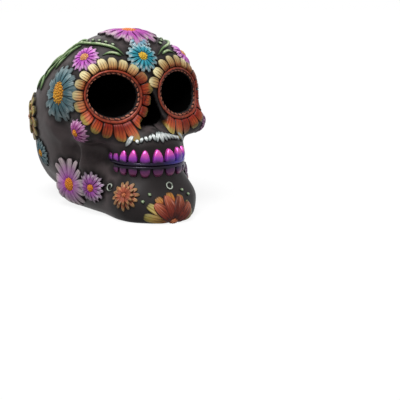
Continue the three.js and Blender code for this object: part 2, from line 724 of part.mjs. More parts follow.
function vineBeads(side) {
  const stem = routeOver(VINE_ROUTE, side, 60);
  const away = VINE_WIDTH / 2 + BEAD_DIAMETER / 2 + 3 * CLEARANCE;
  return range(BEADS_PER_VINE).map((i) => {
    const at = 7 + 3 * i;
    const tangent = stem[at + 1].clone().sub(stem[at - 1]).normalize();
    const upward = tangent.clone().cross(skinNormal(stem[at])).multiplyScalar(-side).normalize();
    const direction = stem[at].clone().addScaledVector(upward, away).sub(HEART).normalize();
    return skinPoint(HEART, direction);
  });
}

// An arched curl over the garland, from the vine's foot outwards
function curl(side, grow) {
  const patch = eyePatch(side);
  const steps = 6;
  const points = range(steps + 1).map((i) => {
    const share = i / steps;
    const angle = THREE.MathUtils.lerp(CURL_FROM, CURL_TO, share) * DEG;
    const away = VINE_WIDTH * (1 + 0.6 * Math.sin(Math.PI * share));
    return around(patch, garlandTip(angle) + away, side < 0 ? angle : Math.PI - angle, 0);
  });
  return strand(points, (t) => VINE_WIDTH * 0.8 * taper(t) + 2 * grow, taper);
}

function dressForehead(side) {
  const name = sideName(side);
  lay(`vine_${name}`, vine(side, 0), vine(side, CLEARANCE), 0x6f9a5e);
  lay(`vine_curl_${name}`, curl(side, 0), curl(side, CLEARANCE), 0x6f9a5e);
  vineBeads(side).forEach((point, i) => {
    lay(`vine_bead_${i + 1}_${name}`, bead(point, 0), bead(point, CLEARANCE), 0xa9c496);
  });
}

function moustache() {
  const anchor = skinPoint(v3(0, -MOUTH_FRONT, MOUSTACHE_MIDDLE), v3(0, -1, 0));
  const patch = patchAt(anchor, v3(0, -1, 0), MAXILLA_LENGTH / 2);
  const steps = 2 * MOUSTACHE_LEAVES;
  const points = range(steps + 1).map((i) => {
    const across = (i / steps - 0.5) * MOUSTACHE_WIDTH;
    return patch(across, -0.012 * across * across, 0);
  });
  const scallop = (t) => Math.abs(Math.sin(MOUSTACHE_LEAVES * Math.PI * t));
  const width = (t) => MOUSTACHE_LEAF_HEIGHT * (0.45 + 0.55 * scallop(t));
  const row = strand(points, width, () => 0.7 * PETAL_HEIGHT);
  lay("moustache", row, row, 0xcfd2d4);
  for (const side of [-1, 1]) {
    const start = MOUSTACHE_WIDTH / 2 + 3;
    const route = range(6).map((i) => patch(side * (start + 0.8 * i), 1.5 - 1.5 * i, 0));
    const leaf = (grow, high) => strand(route, (t) => LEAF_WIDTH * lens(t) + 2 * grow, () => high);
    const body = leaf(0, 0.7 * PETAL_HEIGHT);
    lay(`moustache_leaf_${sideName(side)}`, body, leaf(CLEARANCE, ROOM_HEIGHT), 0xcfd2d4);
  }
}

function jawCurl(side) {
  const patch = patchToward(side * 27.5, -33.5, CURL_DIAMETER);
  const steps = 9;
  const points = range(steps + 1).map((i) => {
    const angle = (0.25 + 1.55 * (i / steps)) * Math.PI;
    const radius = (CURL_DIAMETER / 2) * (0.75 + 0.35 * (i / steps));
    return patch(-side * radius * Math.cos(angle), radius * Math.sin(angle), 0);
  });
  const body = strand(points, () => WIRE, () => 0.8 * WIRE);
  lay(`jaw_curl_${sideName(side)}`, body, body, 0x9fb487);
}

// A ring and beads round the upper edge of the chin flower
function dressChin() {
  const round = patchToward(0, CHIN_FLOWER_RISE, DAHLIA_RADIUS);
  const patch = (across, up, height) => round(CHIN_FLOWER_STRETCH * across, up, height);
  const room = petalRoom(patch, DAHLIA_RADIUS);
  lay("chin_dahlia", dahlia(patch, DAHLIA_PETALS, DAHLIA_RADIUS), room, 0xa85a38);
  const ringAway = DAHLIA_RADIUS + RING_DIAMETER / 2 + WIRE;
  const ringMiddle = around(patch, ringAway, CHIN_RING_ANGLE * DEG, 0);
  const ringPatch = patchAt(ringMiddle, skinNormal(ringMiddle), 2 * RING_DIAMETER);
  const sides = 4;
  const steps = 12;
  const rings = range(sides).map((c) =>
    range(steps).map((i) => {
      const turn = (c / sides) * 2 * Math.PI;
      const radius = RING_DIAMETER / 2 + (WIRE / 2) * Math.cos(turn);
      return around(ringPatch, radius, (i / steps) * 2 * Math.PI, (WIRE / 2) * (0.6 + Math.sin(turn)));
    }),
  );
  const ring = loft(rings);
  lay("chin_ring", ring, ring, 0xb9bdb0);
  CHIN_BEAD_ANGLES.forEach((angle, i) => {
    const point = around(patch, DAHLIA_RADIUS + BEAD_DIAMETER, angle * DEG, 0);
    lay(`chin_bead_${i + 1}`, bead(point, 0), bead(point, CLEARANCE), 0xb9bdb0);
  });
}

place("cranium", cranium, 0x2c2827);
place("mandible", mandible, 0x2c2827);
const upperTeeth = toothRow(1, UPPER_TOOTH_HEIGHT);
const lowerTeeth = toothRow(-1, LOWER_TOOTH_HEIGHT);
lay("upper_teeth", upperTeeth, upperTeeth, 0xa24fc0, 0.25);
lay("lower_teeth", lowerTeeth, lowerTeeth, 0x6b3a72, 0.25);
moustache();
for (const side of [-1, 1]) dressEye(side);
dressChin();
for (const { name, pair, bearing, rise, radius, petals, colour } of FLOWERS)
  for (const side of pair ? [-1, 1] : [1]) {
    const patch = patchToward(side * bearing, rise, radius);
    const shape = name.includes("dahlia") ? dahlia : daisy;
    const node = pair ? `${name}_${sideName(side)}` : name;
    lay(node, shape(patch, petals, radius), petalRoom(patch, radius), colour);
  }
for (const side of [-1, 1]) {
  dressForehead(side);
  jawCurl(side);
}

const bounds = new THREE.Box3().setFromObject(skull);
const middle = bounds.getCenter(v3());
skull.position.set(-middle.x, -middle.y, -bounds.min.z);
const stand = new THREE.Group();
stand.add(skull);
export default stand;
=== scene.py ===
"""Sugar skull in painted cast resin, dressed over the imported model.

Lengths are millimetres in the head's own frame, with the table at z = 0 and the face along -Y.
HEAD_TO_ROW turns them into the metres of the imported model.
"""
import math
import random

import bmesh
import bpy
import numpy as np
from mathutils import Matrix, Vector
from mathutils.bvhtree import BVHTree
from mathutils.kdtree import KDTree


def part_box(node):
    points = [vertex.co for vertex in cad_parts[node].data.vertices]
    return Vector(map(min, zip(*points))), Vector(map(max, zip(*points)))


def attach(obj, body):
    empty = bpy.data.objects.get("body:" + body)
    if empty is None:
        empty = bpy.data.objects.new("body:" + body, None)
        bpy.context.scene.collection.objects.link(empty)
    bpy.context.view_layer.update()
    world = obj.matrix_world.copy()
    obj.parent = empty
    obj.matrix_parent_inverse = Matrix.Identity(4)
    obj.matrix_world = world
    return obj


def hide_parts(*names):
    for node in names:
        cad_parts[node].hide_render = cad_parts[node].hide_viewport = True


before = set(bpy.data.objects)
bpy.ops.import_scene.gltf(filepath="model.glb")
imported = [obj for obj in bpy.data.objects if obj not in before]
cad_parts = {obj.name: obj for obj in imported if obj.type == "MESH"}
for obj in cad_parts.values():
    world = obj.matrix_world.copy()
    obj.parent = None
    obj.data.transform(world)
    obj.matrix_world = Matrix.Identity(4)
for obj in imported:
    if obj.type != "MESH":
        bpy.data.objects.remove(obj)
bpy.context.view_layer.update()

TAU = 2 * math.pi
MM = 0.001
HEAD_SHIFT = 14.686
HEAD_TO_ROW = Matrix.Scale(MM, 4) @ Matrix.Translation((0, HEAD_SHIFT, 0))
ROW_TO_HEAD = HEAD_TO_ROW.inverted()
HEART = Vector((0, 0, 61))
# Farther out than any part of the head, for rays cast inwards
REACH = 160
RIGHT, LEFT = -1, 1
SIDES = {RIGHT: "right", LEFT: "left"}

# Openings of the head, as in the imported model
EYE_MIDDLE = (24.5, -50.69, 78)
EYE_TURN = math.radians(7)
EYE_WRAP = 78.4
EYE_HALF_WIDTH = 15.75
EYE_HALF_HEIGHT = 13.5
# Millimetres in one unit of the eye's oval, and how deep the walls of an opening are looked for
EYE_SCALE = 14
OPENING_DEPTH = 40
NOSE_MIDDLE = (0, -56.67, 68.3)
NOSE_WRAP = 62.5
NOSE_HALF_WIDTHS = [(-11.5, 0.5), (-10.6, 5), (-9.2, 8), (-7.1, 9.3), (-4.3, 8.8),
                    (0, 6.9), (4.3, 5.3), (8.7, 3.7), (12.2, 0.6)]

rng = random.Random(7)


# Working by hand: selection, edit mode, modifiers, copies
def only(*pieces):
    bpy.ops.object.select_all(action="DESELECT")
    for piece in pieces:
        piece.select_set(True)
    bpy.context.view_layer.objects.active = pieces[0]


def start_edit(piece):
    only(piece)
    bpy.ops.object.mode_set(mode="EDIT")
    bpy.ops.mesh.select_mode(type="VERT")
    bpy.ops.mesh.select_all(action="SELECT")


def end_edit():
    bpy.ops.object.mode_set(mode="OBJECT")


def pick(piece, test):
    """Selects the points that pass the test, and the edges and faces between them."""
    shape = bmesh.from_edit_mesh(piece.data)
    for each in (*shape.faces, *shape.edges, *shape.verts):
        each.select = False
    for point in shape.verts:
        point.select = test(point.co)
    shape.select_flush(True)
    bmesh.update_edit_mesh(piece.data)


def pick_edges(piece, test):
    bpy.ops.mesh.select_mode(type="EDGE")
    bpy.ops.mesh.select_all(action="DESELECT")
    shape = bmesh.from_edit_mesh(piece.data)
    for edge in shape.edges:
        edge.select = test(edge.verts[0].co, edge.verts[1].co)
    bmesh.update_edit_mesh(piece.data)


def move(*way):
    bpy.ops.transform.translate(value=way)


def resize(*factors, about=None):
    centre = {"center_override": about} if about else {}
    bpy.ops.transform.resize(value=factors, **centre)


def extrude(*way):
    bpy.ops.mesh.extrude_region_move(TRANSFORM_OT_translate={"value": way})


def apply_modifier(piece, kind, **settings):
    only(piece)
    modifier = piece.modifiers.new(kind.title(), kind)
    for name, value in settings.items():
        setattr(modifier, name, value)
    bpy.ops.object.modifier_apply(modifier=modifier.name)


def soften(piece, levels=1):
    apply_modifier(piece, "SUBSURF", levels=levels, render_levels=levels)


def twin_of(master, place=Matrix.Identity(4)):
    twin = master.copy()
    twin.data = master.data.copy()
    twin.data.transform(place)
    bpy.context.scene.collection.objects.link(twin)
    return twin


def join(name, parts):
    only(*parts)
    if len(parts) > 1:
        bpy.ops.object.join()
    piece = bpy.context.view_layer.objects.active
    piece.name = name
    piece.data.name = name
    return piece


def clear_away(*masters):
    for master in masters:
        bpy.data.objects.remove(master)


def note(piece, name, values):
    """A number for every point of the piece, for its paint to read."""
    layer = piece.data.attributes.get(name) or piece.data.attributes.new(name, "FLOAT", "POINT")
    count = len(piece.data.vertices)
    layer.data.foreach_set("value", np.broadcast_to(np.asarray(values, np.float32), count).copy())


def points_of(piece):
    flat = np.empty(3 * len(piece.data.vertices))
    piece.data.vertices.foreach_get("co", flat)
    return flat.reshape(-1, 3)


def set_points(piece, points):
    piece.data.vertices.foreach_set("co", np.asarray(points, float).ravel())
    piece.data.update()


def write_uv(piece, across, along):
    layer = piece.data.uv_layers.get("UVMap") or piece.data.uv_layers.new(name="UVMap")
    corners = np.empty(len(piece.data.loops), int)
    piece.data.loops.foreach_get("vertex_index", corners)
    pairs = np.stack([np.broadcast_to(across, len(piece.data.vertices)),
                      np.broadcast_to(along, len(piece.data.vertices))], 1)
    layer.data.foreach_set("uv", pairs[corners].ravel().astype(np.float32))


def smooth_shade(piece, angle=50):
    only(piece)
    bpy.ops.object.shade_smooth_by_angle(angle=math.radians(angle))


ornaments = []


def dressed(parts, *paints):
    for part in parts:
        part.data.materials.clear()
        for paint in paints:
            part.data.materials.append(paint)
    return parts


def finish_piece(piece, slot, *nodes):
    ornaments.append(piece)
    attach(piece, "root")
    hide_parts(*nodes)


def set_piece(node, word, parts, slot, paint):
    """Joins the parts that stand in for one node, shades and paints them and hands them over."""
    piece = join(f"{node}_{word}", parts)
    smooth_shade(piece)
    dressed([piece], paint)
    finish_piece(piece, slot, node)


# Paint
def srgb(code):
    parts = [int(code[i:i + 2], 16) / 255 for i in (1, 3, 5)]
    return (*[p / 12.92 if p <= 0.04045 else ((p + 0.055) / 1.055) ** 2.4 for p in parts], 1)


class Signal:
    """One value in a paint; sums on it add Math nodes."""

    def __init__(self, paint, socket):
        self.paint = paint
        self.socket = socket

    def maths(self, operation, first, second=0.0):
        return self.paint.node("Math", {"operation": operation}, {0: first, 1: second})

    def __add__(self, other):
        return self.maths("ADD", self, other)

    __radd__ = __add__

    def __mul__(self, other):
        return self.maths("MULTIPLY", self, other)

    __rmul__ = __mul__

    def __sub__(self, other):
        return self.maths("SUBTRACT", self, other)

    def __rsub__(self, other):
        return self.maths("SUBTRACT", other, self)

    def size(self):
        return self.maths("ABSOLUTE", self)

    def wave(self):
        return self.maths("SINE", self)

    def between(self, low, high):
        return self.paint.node("MapRange", {"interpolation_type": "SMOOTHSTEP"},
                               {"Value": self, "From Min": low, "From Max": high})


class Paint:
    """The nodes of a material, or of the world, and the colour brushed on so far."""

    def __init__(self, name, colour=None, library="materials"):
        self.made = getattr(bpy.data, library).new(name)
        self.made.use_nodes = True
        self.tree = self.made.node_tree
        self.tree.nodes.clear()
        self.colour = colour

    def node(self, kind, settings=None, sockets=None, output=0):
        made = self.tree.nodes.new("ShaderNode" + kind)
        for name, value in (settings or {}).items():
            setattr(made, name, value)
        for name, value in (sockets or {}).items():
            if isinstance(value, Signal):
                self.tree.links.new(value.socket, made.inputs[name])
            else:
                made.inputs[name].default_value = srgb(value) if isinstance(value, str) else value
        return Signal(self, made.outputs[output]) if len(made.outputs) else made

    def place(self):
        return self.node("TexCoord", output=3)

    def number(self, name):
        return self.node("Attribute", {"attribute_name": name}, output=2)

    def petal_place(self):
        pair = self.node("UVMap", {"uv_map": "UVMap"})
        return [self.node("SeparateXYZ", {}, {0: pair}, output=i) for i in (0, 1)]

    def noise(self, place, scale, detail):
        return self.node("TexNoise", {}, {"Vector": place, "Scale": scale, "Detail": detail})

    def streaks(self, x, y, z):
        """Brush marks, drawn out where a direction counts for little."""
        return self.noise(self.node("CombineXYZ", {}, {0: x, 1: y, 2: z}), 1.0, 3)

    def mix(self, share, first, second):
        return self.node("Mix", {"data_type": "RGBA"}, {0: share, 6: first, 7: second}, output=2)

    def coat(self, share, colour):
        self.colour = self.mix(share, self.colour, colour)

    def shade(self, factor):
        self.colour = self.node("VectorMath", {"operation": "SCALE"}, {0: self.colour, "Scale": factor})

    def dark_edges_and_gap_shade(self, across, inset, edge, gap):
        """Dark along both sides of a petal, from so far off its middle, and painted shade low down between petals.
        """
        self.coat((across - 0.5).size().between(inset, 0.48) * 0.9, edge)
        self.coat((1 - self.number("lift").between(0.12, 0.5)) * 0.92, gap)

    def bump(self, height, strength, distance):
        return self.node("Bump", {}, {"Height": height, "Strength": strength, "Distance": distance})

    def seen_rays(self):
        """One for what the camera sees, straight, mirrored or through something clear."""
        camera, glossy, through = (self.node("LightPath", output=f"Is {kind} Ray")
                                   for kind in ("Camera", "Glossy", "Transmission"))
        return camera + glossy + through

    def finish(self, **sockets):
        named = {name.replace("_", " ").title().replace("Ior", "IOR"): value for name, value in sockets.items()}
        surface = self.node("BsdfPrincipled", {}, {"Base Color": self.colour, **named})
        self.node("OutputMaterial", {}, {"Surface": surface})
        return self.made


def resin_paint():
    paint = Paint("dark_satin_resin", "#423a3a")
    place = paint.place()
    cloud = paint.noise(place, 45, 4)
    grain = paint.noise(place, 900, 3)
    recess_black_and_shade = paint.number("recess_black_and_shade")
    paint.coat(cloud.between(0.3, 0.72), "#53494a")
    paint.coat(grain.between(0.55, 0.8) * 0.25, "#655b5a")
    # Painted shade: near black on the skin round the ornaments and over lip and chin
    paint.coat((paint.number("painted_shade") + (cloud - 0.5) * 0.3).between(0.05, 0.95) * 0.85, "#0d0a0a")
    # Black in the openings: their black paint, deepened as painted shade of the recess
    paint.coat(recess_black_and_shade, "#020202")
    swell = paint.noise(place, 160, 2) * 0.8 + grain * 0.2
    return paint.finish(roughness=0.40 + 0.14 * cloud + recess_black_and_shade * 0.4, specular_ior_level=0.16,
                        normal=paint.bump(swell, 0.10, 0.0006))


# Black inside the openings, as their black paint and as painted shade of the deep recess
def recess_black_and_shade_paint():
    paint = Paint("black_and_shaded_recess", "#020202")
    paint.coat(paint.noise(paint.place(), 300, 2), "#060505")
    return paint.finish(roughness=1.0, specular_ior_level=0.0)


def petal_paint(name, root, middle, tip, edge, tip_from=0.5, dry=0.5):
    """Root, middle and tip colours brushed along the petal, dark along its edges with painted shade in the gaps,
    and pale on the ridges.
    """
    paint = Paint(name, root)
    across, along = paint.petal_place()
    tint = paint.number("tint")
    streak = paint.streaks(across * 9, along * 1.3, tint * 37)
    fleck = paint.noise(paint.place(), 1100, 2)
    run = along + (streak - 0.5) * 0.55
    paint.coat(run.between(0.05, 0.42), middle)
    paint.coat(run.between(tip_from, tip_from + 0.42), tip)
    paint.shade(0.72 + tint * 0.42 + (streak - 0.5) * 0.5)
    paint.coat(streak.between(0.55, 0.72) * along.between(0.3, 0.9) * dry, "#e9e2dc")
    paint.coat((1 - streak.between(0.36, 0.48)) * 0.55, edge)
    # The last colour is painted shade low between petals
    paint.dark_edges_and_gap_shade(across, 0.3, edge, "#0d0908")
    return paint.finish(roughness=0.36 + streak * 0.2, specular_ior_level=0.2,
                        normal=paint.bump(streak * 0.8 + fleck * 0.2, 0.30, 0.0003))


def disc_paint(name, dark, light):
    paint = Paint(name, dark)
    speck = paint.noise(paint.place(), 700, 2)
    paint.coat(paint.number("tint") * 0.7 + speck * 0.3, light)
    # Painted shade: dark brown low round the dome and between the seeds
    paint.coat((1 - paint.number("lift").between(0.45, 0.72)) * 0.75, "#3a1c0a")
    return paint.finish(roughness=0.38 + speck * 0.2, specular_ior_level=0.2,
                        normal=paint.bump(speck, 0.2, 0.0002))


# Painted shadow on the low parts, the body colour between, and a painted highlight in the light colour on the top,
# broken by a rubbed noise that also sets roughness and bump
def metal_paint(name, shadow, body, light, metallic, rough):
    paint = Paint(name, shadow)
    lift = paint.number("lift")
    rub_and_highlight = paint.noise(paint.place(), 420, 3)
    paint.coat(lift.between(0.25, 0.75), body)
    paint.coat(lift.between(0.68, 1.0) * rub_and_highlight.between(0.3, 0.6), light)
    return paint.finish(metallic=metallic, roughness=rough + 0.15 * rub_and_highlight, specular_ior_level=0.25,
                        normal=paint.bump(rub_and_highlight, 0.2, 0.0002))


def pearl_paint(name, bite, body, gum, far_side_shade):
    """Tooth lacquer: deep at the bite and bright towards the gum, with a cooler painted shade on the far side of
    the mouth, away from the light.
    """
    paint = Paint(name, bite)
    along = paint.petal_place()[1]
    place = paint.place()
    sideways = paint.node("SeparateXYZ", {}, {0: place})
    cloud = paint.noise(place, 260, 3)
    run = along + (cloud - 0.5) * 0.5
    paint.coat(run.between(0.08, 0.42), body)
    paint.coat(run.between(0.4, 0.85), gum)
    # Painted shade, cooler, on the far side of the mouth
    paint.coat(sideways.between(-0.004, 0.016) * (1 - run.between(0.2, 0.8)) * 0.8, far_side_shade)
    paint.shade(0.82 + paint.number("tint") * 0.3)
    return paint.finish(metallic=0.45, roughness=0.24 + cloud * 0.14, specular_ior_level=0.25,
                        coat_weight=0.15, coat_roughness=0.1, normal=paint.bump(cloud, 0.08, 0.0004))


# Points on the skin
def patch_frame(axis):
    across = Vector((0, 0, 1)).cross(axis).normalized()
    return across, axis.cross(across)


def unroll(points, middle, axis, wrap):
    """Flat place of each point in the drawing that wraps round a focus below the middle."""
    across, up = (np.array(v) for v in patch_frame(axis))
    away = points - np.array(Vector(middle) - wrap * axis)
    away /= np.linalg.norm(away, axis=1)[:, None]
    swing = np.arccos(np.clip(away @ np.array(axis), -1, 1))
    flat = np.stack([away @ across, away @ up], 1)
    flat *= (swing * wrap / np.maximum(np.linalg.norm(flat, axis=1), 1e-9))[:, None]
    inward = points - np.array(middle)
    straight = np.stack([inward @ across, inward @ up], 1)
    above = inward @ np.array(axis) > -OPENING_DEPTH
    nearer = np.linalg.norm(straight, axis=1) < np.linalg.norm(flat, axis=1)
    return np.where((above & nearer)[:, None], straight, flat)


def eye_frame(side):
    """Middle of an eye, the way it looks and the wrap of the drawing round it."""
    middle = Vector((side * EYE_MIDDLE[0], *EYE_MIDDLE[1:]))
    return middle, Vector((side * math.sin(EYE_TURN), -math.cos(EYE_TURN), 0)), EYE_WRAP


def outside_eye(points, side):
    flat = unroll(points, *eye_frame(side))
    return (np.hypot(flat[:, 0] / EYE_HALF_WIDTH, flat[:, 1] / EYE_HALF_HEIGHT) - 1) * EYE_SCALE


def outside_nose(points):
    flat = unroll(points, NOSE_MIDDLE, Vector((0, -1, 0)), NOSE_WRAP)
    rises, halves = zip(*NOSE_HALF_WIDTHS)
    beside = np.abs(flat[:, 0]) - np.interp(flat[:, 1], rises, halves)
    beyond = np.abs(flat[:, 1] - (rises[0] + rises[-1]) / 2) - (rises[-1] - rises[0]) / 2
    return np.maximum(beside, beyond)


def outside_openings(points):
    """Millimetres outside the nearest eye or nose opening, negative inside it."""
    return np.min([outside_nose(points), *(outside_eye(points, side) for side in SIDES)], axis=0)


def solid_of(node, swell):
    piece = bpy.data.objects.new(node + "_solid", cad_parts[node].data.copy())
    bpy.context.scene.collection.objects.link(piece)
    start_edit(piece)
    bpy.ops.mesh.remove_doubles(threshold=1e-6)
    end_edit()
    apply_modifier(piece, "DISPLACE", strength=swell * MM, mid_level=0)
    return piece


def head_points(piece):
    return points_of(piece) / MM - np.array((0, HEAD_SHIFT, 0))


def relax(piece, weights, passes):
    group = piece.vertex_groups.new(name="soft")
    for index, weight in enumerate(weights):
        group.add([index], float(weight), "REPLACE")
    apply_modifier(piece, "SMOOTH", factor=0.5, iterations=passes, vertex_group="soft")
    piece.vertex_groups.clear()


def nearness(piece, solid):
    tree = BVHTree.FromObject(solid, bpy.context.evaluated_depsgraph_get())
    return np.array([tree.find_nearest(point.co)[3] for point in piece.data.vertices]) / MM


# How far each solid is swelled, so that the two run together, and the grain of the skin made from them
SWELLS = {"cranium": 0.1, "mandible": 0.45}
SKIN_GRAIN = 0.92
# Passes of smoothing over all of the skin, and over the seam, fading out at its reach
SKIN_PASSES, SEAM_PASSES = 44, 90
SEAM_REACH, SEAM_FADE = 7, 5
# Smoothing is weaker this near to the edge of an opening, and least on it
EDGE_FADE, EDGE_LEAST = 4, 0.08
# Radius of the spot that is pulled when the skin is pressed
PRESS_SPOT = 1.5


def casting():
    """Head and jaw run into one skin, with facets and joint smoothed away and the openings kept crisp."""
    solids = [solid_of(node, swell) for node, swell in SWELLS.items()]
    piece = join("head_casting", [twin_of(solid) for solid in solids])
    apply_modifier(piece, "REMESH", mode="VOXEL", voxel_size=SKIN_GRAIN * MM, use_smooth_shade=True)
    only(piece)
    bpy.ops.mesh.separate(type="LOOSE")
    shells = sorted(bpy.context.selected_objects, key=lambda shell: -len(shell.data.vertices))
    piece = shells[0]
    clear_away(*shells[1:])
    seam = np.maximum(*(nearness(piece, solid) for solid in solids))
    clear_away(*solids)
    crisp = np.clip(np.abs(outside_openings(head_points(piece))) / EDGE_FADE, EDGE_LEAST, 1)
    relax(piece, crisp, SKIN_PASSES)
    relax(piece, np.clip((SEAM_REACH - seam) / SEAM_FADE, 0, 1) * crisp, SEAM_PASSES)
    for place in HOLLOWS:
        for side in SIDES:
            press(piece, side, *place)
    piece.name = piece.data.name = "head_casting"
    smooth_shade(piece, 60)
    return piece


def press(piece, side, bearing, rise, reach, push):
    """Pulls the skin round one place out or in, fading out at the reach."""
    tree = BVHTree.FromObject(piece, bpy.context.evaluated_depsgraph_get())
    ray = towards(side * bearing, rise)
    spot, normal, _, _ = tree.ray_cast(HEAD_TO_ROW @ (HEART + REACH * ray), -ray)
    start_edit(piece)
    pick(piece, lambda p: (p - spot).length < PRESS_SPOT * MM)
    bpy.ops.transform.translate(value=push * MM * normal, use_proportional_edit=True,
                                proportional_edit_falloff="SMOOTH", proportional_size=reach * MM)
    end_edit()


def towards(bearing, rise):
    turn, tilt = math.radians(bearing), math.radians(rise)
    return Vector((math.sin(turn) * math.cos(tilt), -math.cos(turn) * math.cos(tilt), math.sin(tilt)))


# Bearing, rise, reach and millimetres pulled out
HOLLOWS = [
    (84, -46, 24, 5.0),  # angle of the jaw
    (43, -3, 12, 2.0),  # cheekbone
    (60, -7, 14, -5.0),  # behind the cheekbone
    (36, -19.5, 12.5, -5.5),  # under the cheekbone
    (58, -26, 10, -4.5),  # behind the arm of the jaw
    (47, -25, 8, 2.4),  # arm of the jaw
    (48, -33, 8, 2.2),
]
head = casting()


# Skin this near to an opening is taken off before the cap goes on
CAP_REACH = 0.5
# The looser skin is swelled and drawn in again, at a grain of its own, to bridge the hollows
BRIDGE_SWELL, BRIDGE_GRAIN = 9, 1.6


def closed_skin():
    """The casting with its openings capped, for laying ornaments over, and a looser skin over that."""
    gap = outside_openings(head_points(head))
    shape = bmesh.new()
    shape.from_mesh(head.data)
    inside = [face for face in shape.faces if all(gap[v.index] < CAP_REACH for v in face.verts)]
    bmesh.ops.delete(shape, geom=inside, context="FACES")
    bmesh.ops.holes_fill(shape, edges=[e for e in shape.edges if e.is_boundary], sides=0)
    shape.transform(ROW_TO_HEAD)
    tree = BVHTree.FromBMesh(shape)
    bridge = bpy.data.objects.new("bridge", bpy.data.meshes.new("bridge"))
    bpy.context.scene.collection.objects.link(bridge)
    shape.to_mesh(bridge.data)
    apply_modifier(bridge, "DISPLACE", strength=BRIDGE_SWELL, mid_level=0)
    apply_modifier(bridge, "REMESH", mode="VOXEL", voxel_size=BRIDGE_GRAIN)
    apply_modifier(bridge, "SMOOTH", factor=0.5, iterations=8)
    apply_modifier(bridge, "DISPLACE", strength=-BRIDGE_SWELL, mid_level=0)
    apply_modifier(bridge, "SMOOTH", factor=0.5, iterations=6)
    bridged = BVHTree.FromObject(bridge, bpy.context.evaluated_depsgraph_get())
    clear_away(bridge)
    return tree, bridged


skin, bridged_skin = closed_skin()
# A flower's patch wraps round a point so many of its radii below the skin
WRAP = 3.4


def skin_point(focus, direction, over=skin):
    hit = over.ray_cast(focus + REACH * direction, -direction)[0]
    return hit or over.find_nearest(focus + REACH / 2 * direction)[0]


def skin_normal(point, over=skin):
    return over.find_nearest(point)[1]


def patch_at(middle, axis, wrap, over=skin):
    """Lays a flat drawing on the skin: across, up and height over the skin."""
    focus = middle - wrap * axis
    right, up = patch_frame(axis)

    def lay(across, rise, height):
        radius = max(math.hypot(across, rise), 1e-9)
        swing = radius / wrap
        direction = math.cos(swing) * axis + (math.sin(swing) / radius) * (across * right + rise * up)
        return skin_point(focus, direction, over) + height * direction

    return lay


def patch_toward(bearing, rise, radius):
    middle = skin_point(HEART, towards(bearing, rise), bridged_skin)
    steps = [Vector([0.4 * radius * way if i == k else 0 for i in range(3)])
             for k in range(3) for way in (1, -1)]
    axis = sum((skin_normal(middle + step, bridged_skin) for step in steps), Vector()).normalized()
    return patch_at(middle, axis, WRAP * radius, bridged_skin)


def raised(lay, lift):
    return lambda across, rise, height: lay(across, rise, height + lift if height > 0 else height)


def route_over(route, side, steps):
    """Points on the skin along a smooth line through bearings and rises."""
    marks = [towards(side * bearing, rise) for bearing, rise in route]
    marks = [2 * marks[0] - marks[1], *marks, 2 * marks[-1] - marks[-2]]
    spans = len(marks) - 3
    points = []
    for i in range(steps + 1):
        share = spans * i / steps
        k = min(int(share), spans - 1)
        t = share - k
        a, b, c, d = marks[k:k + 4]
        mark = 0.5 * (2 * b + (c - a) * t + (2 * a - 5 * b + 4 * c - d) * t ** 2
                      + (3 * b - a - 3 * c + d) * t ** 3)
        points.append(skin_point(HEART, mark.normalized()))
    return points


def strand(points):
    """Lays a drawing along points on the skin: across, share of the length and height."""
    last = len(points) - 1
    normals = [skin_normal(point) for point in points]

    def lay(across, share, height):
        at = min(max(share, 0), 1) * last
        k = min(int(at), last - 1)
        t = at - k
        point = points[k].lerp(points[k + 1], t)
        normal = normals[k].lerp(normals[k + 1], t).normalized()
        ahead = points[min(k + 2, last)] - points[max(k - 1, 0)]
        side = ahead.cross(normal).normalized()
        return point + across * side + height * normal

    return lay


def drape(piece, lay):
    set_points(piece, [HEAD_TO_ROW @ lay(*point) for point in points_of(piece).tolist()])


def mark_lift(piece, top):
    note(piece, "lift", np.clip(points_of(piece)[:, 2] / top, 0, 1))


# Petals and leaves: (share of length, share of width, share of height), the grooves between the ridges
# among so many columns, and how far the tip is cut back at the grooves and at its corners
PETALS = {
    "toothed": dict(
        stations=[(0, 0.42, 0.85), (0.2, 0.66, 1.0), (0.45, 0.9, 1.0),
                  (0.7, 1.0, 0.86), (0.88, 0.9, 0.66), (1, 0.62, 0.5)],
        columns=6, grooves=(2, 4), groove=0.2, cut=0.06, corner=0.13),
    "slim": dict(
        stations=[(0, 0.5, 0.85), (0.25, 0.8, 1.0), (0.55, 1.0, 0.95),
                  (0.8, 0.86, 0.75), (0.95, 0.5, 0.58), (1, 0.3, 0.5)],
        columns=4, grooves=(2,), groove=0.16, cut=0.0, corner=0.03),
    "round": dict(
        stations=[(0, 0.46, 0.85), (0.2, 0.7, 1.0), (0.5, 0.94, 0.98),
                  (0.76, 1.0, 0.84), (0.92, 0.8, 0.64), (1, 0.5, 0.5)],
        columns=6, grooves=(2, 4), groove=0.13, cut=0.0, corner=0.05),
    "broad": dict(
        stations=[(0, 0.8, 0.8), (0.2, 0.92, 1.0), (0.45, 1.0, 1.08), (0.68, 1.0, 1.0),
                  (0.87, 0.8, 0.84), (0.97, 0.5, 0.66), (1, 0.24, 0.56)],
        columns=8, grooves=(2, 4, 6), groove=0.22, cut=0.0, corner=0.02),
    "pointed": dict(
        stations=[(0, 0.5, 0.7), (0.25, 0.8, 0.86), (0.55, 1.0, 1.0),
                  (0.8, 0.74, 1.0), (0.94, 0.36, 0.9), (1, 0.12, 0.8)],
        columns=6, grooves=(2, 4), groove=0.15, cut=0.0, corner=0.0),
    "leaf": dict(
        stations=[(0, 0.12, 0.5), (0.15, 0.6, 0.8), (0.45, 1.0, 1.0),
                  (0.75, 0.72, 0.86), (0.93, 0.3, 0.6), (1, 0.08, 0.4)],
        columns=4, grooves=(2,), groove=0.2, cut=0.0, corner=0.0),
}
# Millimetres that petals reach into the skin, and the share of the height that their sides drop
SINK = 2.2
SIDE_DROP = 0.2
# Share of the step between petals by which each may be out of place
WOBBLE = 0.06


